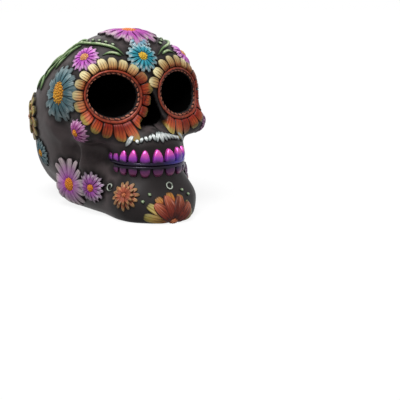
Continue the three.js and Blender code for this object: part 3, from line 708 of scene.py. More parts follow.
def petal(kind, width, length, height):
    """A strip drawn out along +Y by its end edge, ridged, notched at the tip and given its depth."""
    form = PETALS[kind]
    rows = [(share * length, part * width, rise * height) for share, part, rise in form["stations"]]
    columns = form["columns"]
    (y0, w0, h0), (y1, w1, h1) = rows[:2]
    bpy.ops.mesh.primitive_grid_add(x_subdivisions=columns, y_subdivisions=1, size=1)
    piece = bpy.context.object
    start_edit(piece)
    resize(w0, y1 - y0, 1)
    move(0, (y0 + y1) / 2, h0)
    pick(piece, lambda p: p.y > (y0 + y1) / 2)
    resize(w1 / w0, 1, 1, about=(0, y1, h0))
    move(0, 0, h1 - h0)
    for (y0, w0, h0), (y1, w1, h1) in zip(rows[1:], rows[2:]):
        extrude(0, y1 - y0, h1 - h0)
        resize(w1 / w0, 1, 1, about=(0, y1, h1))
    marks, widths, _ = zip(*rows)

    def column(p):
        return round((p.x / np.interp(p.y, marks, widths) + 0.5) * columns)

    pick(piece, lambda p: column(p) in form["grooves"])
    move(0, 0, -form["groove"] * height)
    pick(piece, lambda p: column(p) in (0, columns))
    move(0, 0, -SIDE_DROP * height)
    tip = 0.99 * length
    pick(piece, lambda p: p.y > tip and column(p) in form["grooves"])
    move(0, -form["cut"] * length, 0)
    pick(piece, lambda p: p.y > tip and column(p) in (0, columns))
    move(0, -form["corner"] * length, 0)
    bpy.ops.mesh.select_all(action="SELECT")
    extrude(0, 0, -height - SINK)
    resize(1, 1, 0, about=(0, 0, -SINK))
    bpy.ops.mesh.select_all(action="SELECT")
    bpy.ops.mesh.normals_make_consistent(inside=False)
    end_edit()
    points = points_of(piece)
    across = points[:, 0] / np.interp(points[:, 1], marks, widths) + 0.5
    write_uv(piece, np.clip(across, 0, 1), points[:, 1] / length)
    soften(piece)
    return piece


def ring_of_petals(master, count, root, offset, tints=(0, 1), fan=math.pi):
    """Copies of a petal round the middle or over a fan, each with its own small change of size and turn."""
    parts = []
    for i in range(count):
        turn = (i + offset + rng.uniform(-WOBBLE, WOBBLE)) / count * TAU
        if math.cos(turn) < math.cos(fan):
            continue
        stretch = Matrix.Diagonal((rng.uniform(0.92, 1.06), rng.uniform(0.93, 1.04),
                                   rng.uniform(0.9, 1.08), 1))
        part = twin_of(master, Matrix.Rotation(turn, 4, "Z") @ Matrix.Translation((0, root, 0)) @ stretch)
        note(part, "tint", rng.uniform(*tints))
        parts.append(part)
    return parts


# Turn from each seed of a disc to the next
SEED_TURN = math.radians(137.5)


def beaded_disc(radius, height, beads, paint):
    """A low dome set with seeds in spirals."""
    bpy.ops.mesh.primitive_uv_sphere_add(segments=24, ring_count=14, radius=radius)
    dome = bpy.context.object
    start_edit(dome)
    bpy.ops.mesh.bisect(plane_co=(0, 0, -SINK), plane_no=(0, 0, 1), clear_inner=True, use_fill=True)
    bpy.ops.mesh.select_all(action="SELECT")
    pick(dome, lambda p: p.z > 0)
    resize(1, 1, 0.88 * height / radius, about=(0, 0, 0))
    end_edit()
    note(dome, "tint", 0.2)
    bead = radius * math.sqrt(0.8 / beads)
    bpy.ops.mesh.primitive_uv_sphere_add(segments=8, ring_count=5, radius=bead)
    seed = bpy.context.object
    start_edit(seed)
    pick(seed, lambda p: p.z > 0.9 * bead)
    move(0, 0, 0.25 * bead)
    end_edit()
    parts = [dome]
    for i in range(beads):
        out = radius * 0.98 * math.sqrt((i + 0.5) / beads)
        turn = i * SEED_TURN
        rise = 0.84 * height * math.sqrt(max(1 - (out / radius) ** 2, 0.05))
        part = twin_of(seed, Matrix.Translation((out * math.cos(turn), out * math.sin(turn), rise)))
        note(part, "tint", rng.random())
        parts.append(part)
    clear_away(seed)
    disc = join("disc", parts)
    disc.data.materials.append(paint)
    return disc


# Petals: colours of root, middle, tip and edge, where along it the tip begins, and the share of dry brush
BLUE = ("#14667c", "#37a0b2", "#c6d8da", "#0a2029", 0.55)
STEEL = ("#123f49", "#456a73", "#7f9497", "#0b1a1e", 0.5, 0.4)
ICE = ("#4f8fb0", "#8fbdd2", "#dfe6ea", "#10242a")
PINK = ("#8f2f9c", "#cf62cc", "#ecb4e6", "#2a0d2c")
CROWN = ("#c23aa8", "#b84eb0", "#c9b0bc", "#2a0d2c", 0.55)
MAUVE = ("#b044b4", "#c48ac0", "#d2bec4", "#241022", 0.42)
ROSE = ("#7e2a7c", "#ac5296", "#cf98c0", "#2a0d2c")
PLUM = ("#8a2f94", "#a860a8", "#cdb8cb", "#220c24")
SALMON = ("#6e2a1c", "#a8563e", "#b48a58", "#2a0f0a")
OLIVE = ("#b5603a", "#b08a4c", "#a5984e", "#2a1a0a", 0.5, 0.25)
RUST = ("#4a140e", "#702a1e", "#9c5034", "#2c0d08", 0.5, 0.25)
CREST = ("#6e2015", "#b04e2a", "#cc8c3e", "#2a0f0a", 0.5, 0.2)
PEACH = ("#b8583f", "#c88858", "#b8a65a", "#2a1a0a", 0.5, 0.3)

# Discs: colours from dark to light
GOLD_DISC = ("#b8741c", "#e9b23c")
YELLOW_DISC = ("#c99a1e", "#f4d455")
ORANGE_DISC = ("#c9701c", "#efa63c")
PEACH_DISC = ("#cf8a52", "#f2bf8a")
CROWN_DISC = ("#d9793c", "#f5a568")
SALMON_DISC = ("#a85638", "#d08a5e")

# Bearing from straight ahead and rise over the middle of the head are degrees; radius, lift and the dome
# of the disc are millimetres, and the disc is a share of the radius
FLOWERS = [
    dict(node="forehead_daisy", slot="petal_blue", bearing=-1.5, rise=40.3, radius=11, lift=0.5,
         kind="toothed", count=15, paint=BLUE, disc=0.32, beads=34, disc_colours=YELLOW_DISC),
    dict(node="crown_daisy", slot="petal_magenta", bearing=5, rise=66.8, radius=20.5, lift=0.7, dome=2.4,
         kind="toothed", count=16, paint=CROWN, disc=0.3, beads=60, disc_colours=CROWN_DISC),
    dict(node="brow_daisy", slot="petal_blue", bearing=2, rise=53.6, radius=9, lift=-0.6, dome=1.6,
         kind="toothed", count=12, paint=ICE, disc=0.3, beads=24, disc_colours=YELLOW_DISC),
    dict(node="temple_daisy", pair=True, slot="petal_magenta", bearing=45.6, rise=38.3, radius=10,
         kind="slim", count=14, paint=PINK, disc=0.34, beads=34, disc_colours=PEACH_DISC),
    dict(node="side_daisy", pair=True, slot="petal_blue", bearing=63.4, rise=17.4, radius=19.6,
         kind="toothed", count=15, paint=STEEL, disc=0.42, beads=70, disc_colours=GOLD_DISC),
    dict(node="back_dahlia", pair=True, slot="petal_rust", bearing=118, rise=-5, radius=17, lift=0.8,
         kind="round", count=11, paint=PEACH, inner=OLIVE, disc=0.16, beads=20, disc_colours=SALMON_DISC),
    dict(node="cheek_daisy", pair=True, slot="petal_magenta", bearing=46.5, rise=-5.2, radius=9,
         kind="slim", count=13, paint=ROSE, disc=0.32, beads=30, disc_colours=ORANGE_DISC),
    dict(node="nape_daisy", pair=True, slot="petal_blue", bearing=106.5, rise=-31, radius=10,
         kind="slim", count=13, paint=STEEL, disc=0.3, beads=30, disc_colours=GOLD_DISC),
    dict(node="jaw_large_daisy", pair=True, slot="petal_magenta", bearing=64.4, rise=-45.9, radius=17.2, rings=1,
         kind="round", count=14, paint=MAUVE, disc=0.3, beads=60, disc_colours=ORANGE_DISC),
    dict(node="jaw_small_daisy", pair=True, slot="petal_magenta", bearing=39.8, rise=-38.8, radius=10, lift=0.9,
         kind="slim", count=15, paint=PLUM, disc=0.28, beads=34, disc_colours=ORANGE_DISC),
    dict(node="jaw_orange_daisy", slot="petal_rust", bearing=-20.5, rise=-31.3, radius=10,
         kind="slim", count=14, paint=SALMON, inner=SALMON, disc=0.18, beads=18, disc_colours=SALMON_DISC),
]
LOWER_TOP, UPPER_TOP, INNER_TOP, DISC_TOP = 1.6, 2.5, 3.0, 3.0
# Share of the radius where neighbouring petals have their even share of the round
PETAL_SPREAD = 0.72
# A daisy's petals start under its disc, and each ring is shorter than the one below
ROOT_SHARE = 0.6
RING_STEP = 0.16


def petal_room(radius, count):
    return TAU * PETAL_SPREAD * radius / count


def laid_flower(node, lay, parts):
    piece = join(node + "_flower", parts)
    mark_lift(piece, UPPER_TOP)
    drape(piece, lay)
    smooth_shade(piece)
    return piece


def daisy(node, lay, radius, kind, count, paint, disc, beads, disc_coat, dome=DISC_TOP, rings=2):
    """Rings of petals, each upper one shorter and between the lower ones, round a beaded disc."""
    wide = petal_room(radius, count)
    root = ROOT_SHARE * disc * radius
    parts = []
    for ring in range(rings):
        share = 1 - RING_STEP * ring
        master = petal(kind, (1.26 - 0.17 * rings) * share * wide, share * radius - root,
                       LOWER_TOP if ring < rings - 1 else UPPER_TOP)
        # The lower ring takes darker tints, as painted shade under the upper ring
        parts += ring_of_petals(master, count, root, 0.5 * ring, tints=(0.3 * ring, 0.7 + 0.3 * ring))
        clear_away(master)
    dressed(parts, paint)
    parts.append(beaded_disc(disc * radius, dome, beads, disc_coat))
    return laid_flower(node, lay, parts)


def dahlia(node, lay, radius, kind, count, outer_paint, inner_paint, disc, beads, disc_coat,
           inner=("pointed", 0.9, 0.62), crest_paint=None, fans=(math.pi, math.pi)):
    """Broad outer petals under a standing inner tier; its top petals may take a paint of their own."""
    wide = petal_room(radius, count)
    low = petal(kind, 1.08 * wide, 0.86 * radius, LOWER_TOP)
    high = petal(inner[0], inner[1] * wide, inner[2] * radius, INNER_TOP)
    parts = dressed(ring_of_petals(low, count, 0.12 * radius, 0, fan=fans[0]), outer_paint)
    dressed([parts[0], parts[1], parts[-1]], crest_paint or outer_paint)
    parts += dressed(ring_of_petals(high, count - 2, 0.06 * radius, 0.3, fan=fans[1]), inner_paint)
    clear_away(low, high)
    parts.append(beaded_disc(disc * radius, DISC_TOP, beads, disc_coat))
    return laid_flower(node, lay, parts)


def make_flower(node, slot, bearing, rise, radius, kind, count, paint, disc, beads, disc_colours,
                pair=False, lift=0, inner=None, **form):
    """A daisy, or a dahlia where an inner paint is given, or one of them on each side."""
    petals = radius, kind, count, petal_paint(node + "_petals", *paint)
    middle = disc, beads, disc_paint(node + "_disc", *disc_colours)
    tier = petal_paint(node + "_inner_petals", *inner) if inner else None
    for side in SIDES if pair else (LEFT,):
        name = f"{node}_{SIDES[side]}" if pair else node
        lay = raised(patch_toward(side * bearing, rise, radius), lift)
        if tier:
            piece = dahlia(name, lay, *petals, tier, *middle)
        else:
            piece = daisy(name, lay, *petals, *middle, **form)
        finish_piece(piece, slot, name)


# Chin flower, wider than it is high
CHIN_MIDDLE = Vector((0, -84.8, 1.62))
CHIN_AXIS = Vector((0, -0.9863, -0.1647))
CHIN_RADIUS = 18.5
CHIN_STRETCH = 1.16


def cut_at_table(piece):
    start_edit(piece)
    bpy.ops.mesh.bisect(plane_co=(0, 0, 0), plane_no=(0, 0, 1), clear_inner=True, use_fill=True)
    end_edit()


def make_chin_flower():
    wrapped = patch_at(CHIN_MIDDLE, CHIN_AXIS, WRAP * CHIN_RADIUS)

    def lay(across, rise, height):
        return wrapped(CHIN_STRETCH * across, rise, height)

    outer = petal_paint("chin_outer_petals", *OLIVE)
    inner = petal_paint("chin_inner_petals", *RUST)
    disc = disc_paint("chin_disc", *SALMON_DISC)
    crest = petal_paint("chin_crest_petals", *CREST)
    piece = dahlia("chin_dahlia", lay, CHIN_RADIUS, "toothed", 13, outer, inner, 0.14, 20, disc,
                   ("broad", 1.2, 0.8), crest, (math.radians(100), math.radians(72)))
    cut_at_table(piece)
    finish_piece(piece, "petal_rust", "chin_dahlia")


# Eye trim: how far outside the opening it runs, and its half thickness
ROPE_OUT, ROPE_HALF = 0.4, 0.6
RIM_OUT, RIM_HALF = 1.85, 0.9
GARLAND_OUT = 2.7
ROPE_TWISTS = 30
# Length and slant of one turn of the rope's strand
STRAND_LENGTH, STRAND_SLANT = 2.5, 1.1
# Radius of the ring that the rim is laid from
RING_RADIUS = 10
GARLAND_HALF_WIDTH, GARLAND_HALF_HEIGHT = 25.5, 24.5
GARLAND_PETALS = 19
# Width, length and height of the petal that the garland's are stretched from
MASTER_WIDTH, MASTER_LENGTH, GARLAND_TOP = 8, 8.5, 2.2
# Turn round the eye where the garland is palest, partly in its paint and partly as a painted highlight from the
# light above
PALE_AND_LIT_TURN = math.radians(115)
# Petals stop this short of the nose, but the right garland's keep a length there, and the left one's
# are left off where they have less room
NOSE_CLEARANCE = 0.6
NOSE_SIDE_LENGTH = 5.8
SHORTEST_PETAL = 7.2


def eye_oval(out, angle):
    return (EYE_HALF_WIDTH + out) * math.cos(angle), (EYE_HALF_HEIGHT + out) * math.sin(angle)


def garland_reach(angle):
    return 1 / math.hypot(math.cos(angle) / GARLAND_HALF_WIDTH, math.sin(angle) / GARLAND_HALF_HEIGHT)


def make_rim(side, paint):
    bpy.ops.mesh.primitive_torus_add(major_segments=112, minor_segments=12,
                                     major_radius=RING_RADIUS, minor_radius=RIM_HALF)
    piece = bpy.context.object
    lay = patch_at(*eye_frame(side))
    note(piece, "lift", np.clip(0.5 + points_of(piece)[:, 2] / RIM_HALF / 2, 0, 1))

    def round_eye(x, y, z):
        out = RIM_OUT + math.hypot(x, y) - RING_RADIUS
        return lay(*eye_oval(out, math.atan2(y, x)), z + 0.55 * RIM_HALF)

    drape(piece, round_eye)
    set_piece(f"eye_rim_{SIDES[side]}", "bead", [piece], "trim_copper", paint)


def make_rope(side, paint):
    bpy.ops.mesh.primitive_cube_add(size=1)
    strand_turn = bpy.context.object
    start_edit(strand_turn)
    resize(STRAND_LENGTH, 2 * ROPE_HALF, 1.7 * ROPE_HALF)
    pick(strand_turn, lambda p: p.y > 0)
    move(STRAND_SLANT, 0, 0)
    bpy.ops.mesh.select_all(action="SELECT")
    bpy.ops.mesh.bevel(offset=0.3, segments=1, affect="EDGES")
    end_edit()
    soften(strand_turn)
    lay = patch_at(*eye_frame(side))
    parts = []
    for i in range(ROPE_TWISTS):
        angle = i / ROPE_TWISTS * TAU
        twist = twin_of(strand_turn)
        note(twist, "lift", np.clip(0.55 + points_of(twist)[:, 2] / ROPE_HALF * 0.6, 0, 1))
        note(twist, "tint", rng.random())
        radius = math.hypot(*eye_oval(ROPE_OUT, angle))

        def round_eye(x, y, z):
            return lay(*eye_oval(ROPE_OUT + y, angle + (x - 0.45) / radius), z + 0.5 * ROPE_HALF)

        drape(twist, round_eye)
        parts.append(twist)
    clear_away(strand_turn)
    set_piece(f"eye_rope_{SIDES[side]}", "twist", parts, "trim_copper", paint)


def clear_of_nose(lay, angle, root, reach):
    """How far a petal may reach before it hangs over the nose opening."""
    outs = np.linspace(root, reach, 12).tolist()
    points = np.array([lay(out * math.cos(angle), out * math.sin(angle), 0) for out in outs])
    over = outside_nose(points) < NOSE_CLEARANCE
    return outs[np.argmax(over)] if over.any() else math.inf


def make_garland(side, paint):
    lay = patch_at(*eye_frame(side))
    master = petal("broad", MASTER_WIDTH, MASTER_LENGTH, GARLAND_TOP)
    parts = []
    for i in range(GARLAND_PETALS):
        angle = (i + 0.5 + rng.uniform(-0.05, 0.05)) / GARLAND_PETALS * TAU
        root = math.hypot(*eye_oval(GARLAND_OUT, angle))
        reach = garland_reach(angle)
        room = clear_of_nose(lay, angle, root, reach)
        if side == RIGHT:
            room = max(room, root + NOSE_SIDE_LENGTH)
        length = min(reach * rng.uniform(0.98, 1.03), room) - root
        if side == LEFT and room - root < SHORTEST_PETAL:
            continue
        width = TAU * (root + length / 2) / GARLAND_PETALS * rng.uniform(0.98, 1.05)
        size = Matrix.Diagonal((width / MASTER_WIDTH, length / MASTER_LENGTH, rng.uniform(0.9, 1.1), 1))
        place = Matrix.Rotation(angle - math.pi / 2, 4, "Z") @ Matrix.Translation((0, root, 0)) @ size
        part = twin_of(master, place)
        note(part, "tint", rng.random())
        parts.append(part)
    clear_away(master)
    piece = join("garland", parts)
    mark_lift(piece, GARLAND_TOP)
    points = points_of(piece)
    turns = np.arctan2(points[:, 1], points[:, 0])
    # Paler towards the turn above the eye: partly its paint, partly a painted highlight
    note(piece, "top", np.clip(0.1 + 1.3 * np.cos(turns - PALE_AND_LIT_TURN), 0, 1))
    drape(piece, lay)
    set_piece(f"eye_garland_{SIDES[side]}", "petals", [piece], "petal_amber", paint)


def garland_paint():
    """Red at the root and olive at the tip, with dark veins, and paler over the eye, partly in its paint and
    partly as a painted highlight from above, with painted shade low between petals.
    """
    paint = Paint("amber_petals")
    across, along = paint.petal_place()
    tint = paint.number("tint")
    streak = paint.streaks(across * 8, along * 1.2, tint * 37)
    run = along + (streak - 0.5) * 0.5 + (tint - 0.5) * 0.3
    low = paint.mix(run.between(0.1, 0.6), "#8a2210", "#b8522c")
    low = paint.mix(run.between(0.55, 0.95), low, "#988546")
    high = paint.mix(run.between(0.0, 0.4), "#b8602c", "#d4ae72")
    high = paint.mix(run.between(0.35, 0.9), high, "#e2d6a4")
    # Pale top colours: partly the garland's paint, partly a painted highlight
    paint.colour = paint.mix(paint.number("top"), low, high)
    paint.shade(0.72 + tint * 0.4 + (streak - 0.5) * 0.5)
    veins = (across * (4 * TAU)).wave().between(0.5, 1.0) * (1 - along.between(0.4, 1.0)) * 0.8
    paint.coat(veins, "#3a0e07")
    # The last colour is painted shade low between petals
    paint.dark_edges_and_gap_shade(across, 0.34, "#1e0b06", "#0d0706")
    return paint.finish(roughness=0.34 + streak * 0.2, specular_ior_level=0.2,
                        normal=paint.bump(streak, 0.35, 0.0003))


# Teeth
MOUTH_BACK = 45
ARCH_HALF_WIDTH, ARCH_DEPTH, ARCH_SQUARE = 23.5, 27.5, 2.35
BITE = 35
TEETH_A_SIDE = 7
FRONT_TOOTH, BACK_TOOTH = 8.5, 4.5
# Depth, half of it in the gum, and the gap from the bite to each row
TOOTH_DEPTH = 4.4
BITE_GAP = 0.9
# Share of height, width and depth from the bite to the gum
UPPER_TOOTH = [(0, 0.84, 0.8), (0.25, 0.84, 1.0), (0.55, 0.72, 1.0), (0.84, 0.46, 0.8), (1, 0.16, 0.5)]
LOWER_TOOTH = [(0, 0.86, 0.8), (0.25, 0.86, 1.0), (0.6, 0.74, 0.95), (0.88, 0.54, 0.75), (1, 0.3, 0.5)]


def tooth(stations):
    """A block drawn up from the bite, one unit wide and deep, its tip narrowed."""
    _, w0, d0 = stations[0]
    bpy.ops.mesh.primitive_plane_add(size=1)
    piece = bpy.context.object
    start_edit(piece)
    resize(w0, d0, 1)
    move(0, d0 / 2, 0)
    for (s0, w0, d0), (s1, w1, d1) in zip(stations, stations[1:]):
        extrude(0, 0, s1 - s0)
        resize(w1 / w0, d1 / d0, 1, about=(0, 0, s1))
    bpy.ops.mesh.select_all(action="SELECT")
    bpy.ops.mesh.normals_make_consistent(inside=False)
    bpy.ops.mesh.bevel(offset=0.08, segments=1, affect="EDGES")
    end_edit()
    soften(piece, 2)
    return piece


def arch_place(turn, out):
    """Across and forward on a squarish oval, so far out from the gum."""
    across, ahead = np.sin(turn), np.cos(turn)
    swell = (np.abs(across) ** ARCH_SQUARE + np.abs(ahead) ** ARCH_SQUARE) ** (-1 / ARCH_SQUARE)
    return (ARCH_HALF_WIDTH + out) * swell * across, (ARCH_DEPTH + out) * swell * ahead


ARCH_TURNS = np.linspace(0, 2, 401)
ARCH_LENGTHS = np.concatenate([[0], np.cumsum(np.hypot(*np.diff(arch_place(ARCH_TURNS, 0), axis=1)))])


def on_arch(along, out, rise):
    """The place so far along the arch from its front, out from the gum and over the bite."""
    turn = math.copysign(np.interp(abs(along), ARCH_LENGTHS, ARCH_TURNS), along)
    across, ahead = arch_place(turn, out)
    return Vector((across, -MOUTH_BACK - ahead, BITE + rise))


def make_teeth(node, stations, gumward, height, paint, slot, shown):
    master = tooth(stations)
    parts = []
    for side in SIDES:
        along = 0
        for i in range(shown):
            share = i / (TEETH_A_SIDE - 1)
            width = FRONT_TOOTH + share * (BACK_TOOTH - FRONT_TOOTH)
            tall = height * (1 - 0.26 * share ** 1.5) * rng.uniform(0.97, 1.03)
            part = twin_of(master)
            middle = side * (along + width / 2)
            points = points_of(part)
            write_uv(part, np.clip(points[:, 0] + 0.5, 0, 1), np.clip(points[:, 2], 0, 1))
            note(part, "tint", rng.random())

            def on_gum(x, y, z):
                return on_arch(middle + x * width, TOOTH_DEPTH * (y - 0.5), gumward * (BITE_GAP + tall * z))

            drape(part, on_gum)
            parts.append(part)
            along += width
    clear_away(master)
    band = stem_bar(90)
    write_uv(band, 0.5, 0.0)
    note(band, "tint", 0.4)
    reach = 0.96 * along
    drape(band, lambda x, y, z: on_arch((2 * y - 1) * reach, 0.5 + 1.4 * x, gumward * (1.1 + 1.2 * z)))
    row = join("row", [*parts, band])
    start_edit(row)
    bpy.ops.mesh.normals_make_consistent(inside=False)
    end_edit()
    set_piece(node, "row", [row], slot, paint)


# Vines, curls, leaves and beads
VINE_BACK = [(61, 53), (75, 51), (90, 47), (103, 41), (106, 34), (105, 26), (103, 18)]
VINE_ROUTES = {RIGHT: [(16.6, 41.6), (21, 44.8), (27.5, 46.9), (35, 48.4), (47, 50.2)] + VINE_BACK,
               LEFT: [(14, 41), (22, 44.6), (33, 46.6), (46, 49.5)] + VINE_BACK}
LEAF_ROUTES = [
    [(54, 50), (63, 48), (72, 43.5)],
    [(64, 50), (75, 46.5), (85, 41)],
    [(70, 44.5), (78, 40.5), (85, 35)],
    [(78, 47.5), (89, 42.5), (96, 35)],
    [(90, 40.5), (96, 34), (98, 26)],
    [(105, 30), (100, 25), (98, 17)],
    [(106, 30), (110, 24), (111, 16)],
    [(50, 55), (62, 57.5), (76, 57.5)],
    [(68, 55.5), (83, 55), (97, 51)],
    [(92, 51), (106, 46), (114, 38)],
]
VINE_WIDTH, VINE_TOP = 2.2, 1.8
LEAF_WIDTH, LEAF_TOP = 3.0, 1.6
# First turn and sweep of the curl round the garland, and how far it bows out, in its widths
CURL_START, CURL_SWEEP = 70, 27
CURL_BOW = 0.6
# Place and radius of the curl on the jaw, the radius of its patch, and its wire
JAW_CURL_BEARING, JAW_CURL_RISE = 27.5, -33.5
JAW_CURL_RADIUS, JAW_CURL_PATCH = 2.5, 6
WIRE_WIDTH = 1.0
CHIN_RING_RADIUS, CHIN_RING_HALF = 2.0, 0.5


def stem_bar(cuts):
    """A round bar along +Y, one long and one in radius, with rings to bend at."""
    bpy.ops.mesh.primitive_cylinder_add(vertices=12, radius=1, depth=1, rotation=(math.pi / 2, 0, 0))
    bar = bpy.context.object
    bpy.ops.object.transform_apply(location=False, rotation=True, scale=False)
    start_edit(bar)
    move(0, 0.5, 0)
    pick_edges(bar, lambda a, b: abs(a.y - b.y) > 0.5)
    bpy.ops.mesh.subdivide(number_cuts=cuts)
    end_edit()
    return bar


def stem(points, width, top, taper, cuts):
    bar = stem_bar(cuts)
    shape = points_of(bar)
    swell = np.array([taper(y) for y in shape[:, 1]])
    shape[:, 0] *= swell * width / 2
    shape[:, 2] = (0.25 + 0.75 * shape[:, 2]) * top * swell
    set_points(bar, shape)
    mark_lift(bar, top)
    drape(bar, strand(points))
    return bar


def vine_taper(share):
    return 0.35 + 0.65 * min(1, 6 * share, 2.5 * (1 - share))


def leaf_along(master, points):
    leaf = twin_of(master)
    mark_lift(leaf, LEAF_TOP)
    drape(leaf, strand(points))
    return leaf


def make_vine(side, paint):
    parts = [stem(route_over(VINE_ROUTES[side], side, 80), VINE_WIDTH, VINE_TOP, vine_taper, 80)]
    master = petal("leaf", LEAF_WIDTH, 1, LEAF_TOP)
    parts += [leaf_along(master, route_over(route, side, 12)) for route in LEAF_ROUTES]
    clear_away(master)
    set_piece(f"vine_{SIDES[side]}", "stem", parts, "vine_green", paint)


def make_curl(side, paint):
    lay = patch_at(*eye_frame(side))
    points = []
    for i in range(25):
        share = i / 24
        angle = math.radians(CURL_START + CURL_SWEEP * share)
        out = garland_reach(angle) + VINE_WIDTH * (1 + CURL_BOW * math.sin(math.pi * share))
        turn = angle if side == RIGHT else math.pi - angle
        points.append(lay(out * math.cos(turn), out * math.sin(turn), 0))
    curl = stem(points, 0.9 * VINE_WIDTH, 1.3, vine_taper, 30)
    set_piece(f"vine_curl_{SIDES[side]}", "stem", [curl], "vine_green", paint)


def make_seed(node, slot, paint, length):
    """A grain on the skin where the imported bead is, pointed at one end."""
    low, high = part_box(node)
    middle = ROW_TO_HEAD @ ((low + high) / 2)
    bpy.ops.mesh.primitive_uv_sphere_add(segments=16, ring_count=10, radius=1)
    piece = bpy.context.object
    start_edit(piece)
    resize(1.15, length, 0.95)
    pick(piece, lambda p: p.y > 0.8 * length)
    move(0, 0.25 * length, 0)
    end_edit()
    mark_lift(piece, 1.0)
    normal = skin_normal(middle)
    foot = skin.find_nearest(middle)[0]
    turn = normal.to_track_quat("Z", "Y").to_matrix().to_4x4() @ Matrix.Rotation(rng.uniform(0.6, 1.3), 4, "Z")
    piece.data.transform(HEAD_TO_ROW @ Matrix.Translation(foot + 0.3 * normal) @ turn)
    set_piece(node, "seed", [piece], slot, paint)


# Height of the moustache's middle, the wrap of its patch and how fast it sags to the sides
MOUSTACHE_HEIGHT, MOUSTACHE_WRAP = 52.5, 25
MOUSTACHE_SAG = 0.012
# Widths of its common and its tall leaves, their height, the length that counts as tall, and the end leaves' width
MOUSTACHE_WIDTHS, MOUSTACHE_TOP = (3.0, 4.2), 1.8
TALL_LEAF = 6.5
END_LEAF_WIDTH = 4.4
# Millimetres across and tall, and degrees of lean
MOUSTACHE_LEAVES = [(-14.6, 3.0, -38), (-12.0, 3.4, 22), (-9.4, 3.4, -30), (-6.8, 4.0, 24), (-4.4, 4.6, -16),
                    (-2.0, 6.4, 14), (0.4, 7.4, -6), (2.9, 6.2, -24), (5.4, 5.0, -34),
                    (8.0, 4.4, -40), (10.8, 4.2, -46), (13.6, 3.8, -50)]


def make_moustache(paint):
    middle = skin_point(Vector((0, -MOUTH_BACK, MOUSTACHE_HEIGHT)), Vector((0, -1, 0)))
    lay = patch_at(middle, Vector((0, -1, 0)), MOUSTACHE_WRAP)
    masters = [petal("leaf", width, 1, MOUSTACHE_TOP) for width in MOUSTACHE_WIDTHS]
    parts = []
    for across, tall, lean in MOUSTACHE_LEAVES:
        turn = math.radians(lean)
        steps = [(k / 6 - 0.5) * tall for k in range(7)]
        sag = MOUSTACHE_SAG * across * across
        points = [lay(across + step * math.sin(turn), step * math.cos(turn) - sag, 0) for step in steps]
        parts.append(leaf_along(masters[tall > TALL_LEAF], points))
    clear_away(*masters)
    set_piece("moustache", "leaves", parts, "leaf_silver", paint)
    master = petal("leaf", END_LEAF_WIDTH, 1, LEAF_TOP)
    for side in SIDES:
        points = [lay(side * (17 + 0.8 * i), 1.5 - 1.5 * i, 0) for i in range(6)]
        set_piece(f"moustache_leaf_{SIDES[side]}", "blade", [leaf_along(master, points)], "leaf_silver", paint)
    clear_away(master)


def wire_taper(share):
    return 0.55 + 0.45 * min(1, 4 * share, 4 - 4 * share)


def make_jaw_curl(side, paint):
    lay = patch_toward(side * JAW_CURL_BEARING, JAW_CURL_RISE, JAW_CURL_PATCH)
    points = []
    for i in range(37):
        share = i / 36
        angle = (2.1 * share - 0.3) * math.pi
        radius = JAW_CURL_RADIUS * (0.45 + 0.65 * share)
        points.append(lay(-side * radius * math.cos(angle), radius * math.sin(angle), 0))
    wire = stem(points, WIRE_WIDTH, WIRE_WIDTH, wire_taper, 48)
    set_piece(f"jaw_curl_{SIDES[side]}", "wire", [wire], "leaf_silver", paint)


def make_chin_ring(paint):
    low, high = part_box("chin_ring")
    middle = skin.find_nearest(ROW_TO_HEAD @ ((low + high) / 2))[0]
    lay = patch_at(middle, skin_normal(middle), 10)
    bpy.ops.mesh.primitive_torus_add(major_segments=40, minor_segments=10,
                                     major_radius=CHIN_RING_RADIUS, minor_radius=CHIN_RING_HALF)
    piece = bpy.context.object
    note(piece, "lift", np.clip(0.5 + points_of(piece)[:, 2], 0, 1))
    drape(piece, lambda x, y, z: lay(x, y, 0.9 * z + 0.3))
    set_piece("chin_ring", "wire", [piece], "leaf_silver", paint)


# Painted shade on the skin round the ornaments
SHADE_REACH = 5
MUZZLE_FRONT, MUZZLE_TOP = -50, 54
# Skin this far below the capped openings counts as the inside of one
RECESS_DEPTH = 0.8


def from_ornaments():
    """Millimetres from each point of the head to the nearest ornament."""
    points = np.concatenate([points_of(piece)[::3] for piece in ornaments])
    near = KDTree(len(points))
    for index, point in enumerate(points):
        near.insert(point, index)
    near.balance()
    return np.array([near.find(point.co)[2] for point in head.data.vertices]) / MM


def muzzle_shade():
    """The painted shade is heavier over lip and chin."""
    points = head_points(head)
    ahead = np.clip((MUZZLE_FRONT - points[:, 1]) / 12, 0, 0.95)
    return ahead * np.clip((MUZZLE_TOP - points[:, 2]) / 8, 0, 1)


# Making the pieces
for flower in FLOWERS:
    make_flower(**flower)
make_chin_flower()

# Trim paints: painted shadow, body and painted highlight colours
copper = metal_paint("copper_rim", "#1e0704", "#561a0e", "#9c4028", 0.2, 0.3)
rope_paint = metal_paint("copper_rope", "#160503", "#45130b", "#a8664e", 0.2, 0.35)
amber = garland_paint()
for eye_side in SIDES:
    make_rim(eye_side, copper)
    make_rope(eye_side, rope_paint)
    make_garland(eye_side, amber)

# The last colour is the cooler painted shade of the far side
upper_pearl = pearl_paint("magenta_pearl", "#160828", "#9a3ab0", "#e25ab6", "#4e3fb4")
lower_pearl = pearl_paint("plum_pearl", "#12061c", "#5c2456", "#86406a", "#2c1844")
make_teeth("upper_teeth", UPPER_TOOTH, 1, 9.6, upper_pearl, "teeth_magenta", 6)
make_teeth("lower_teeth", LOWER_TOOTH, -1, 6.8, lower_pearl, "teeth_plum", 5)
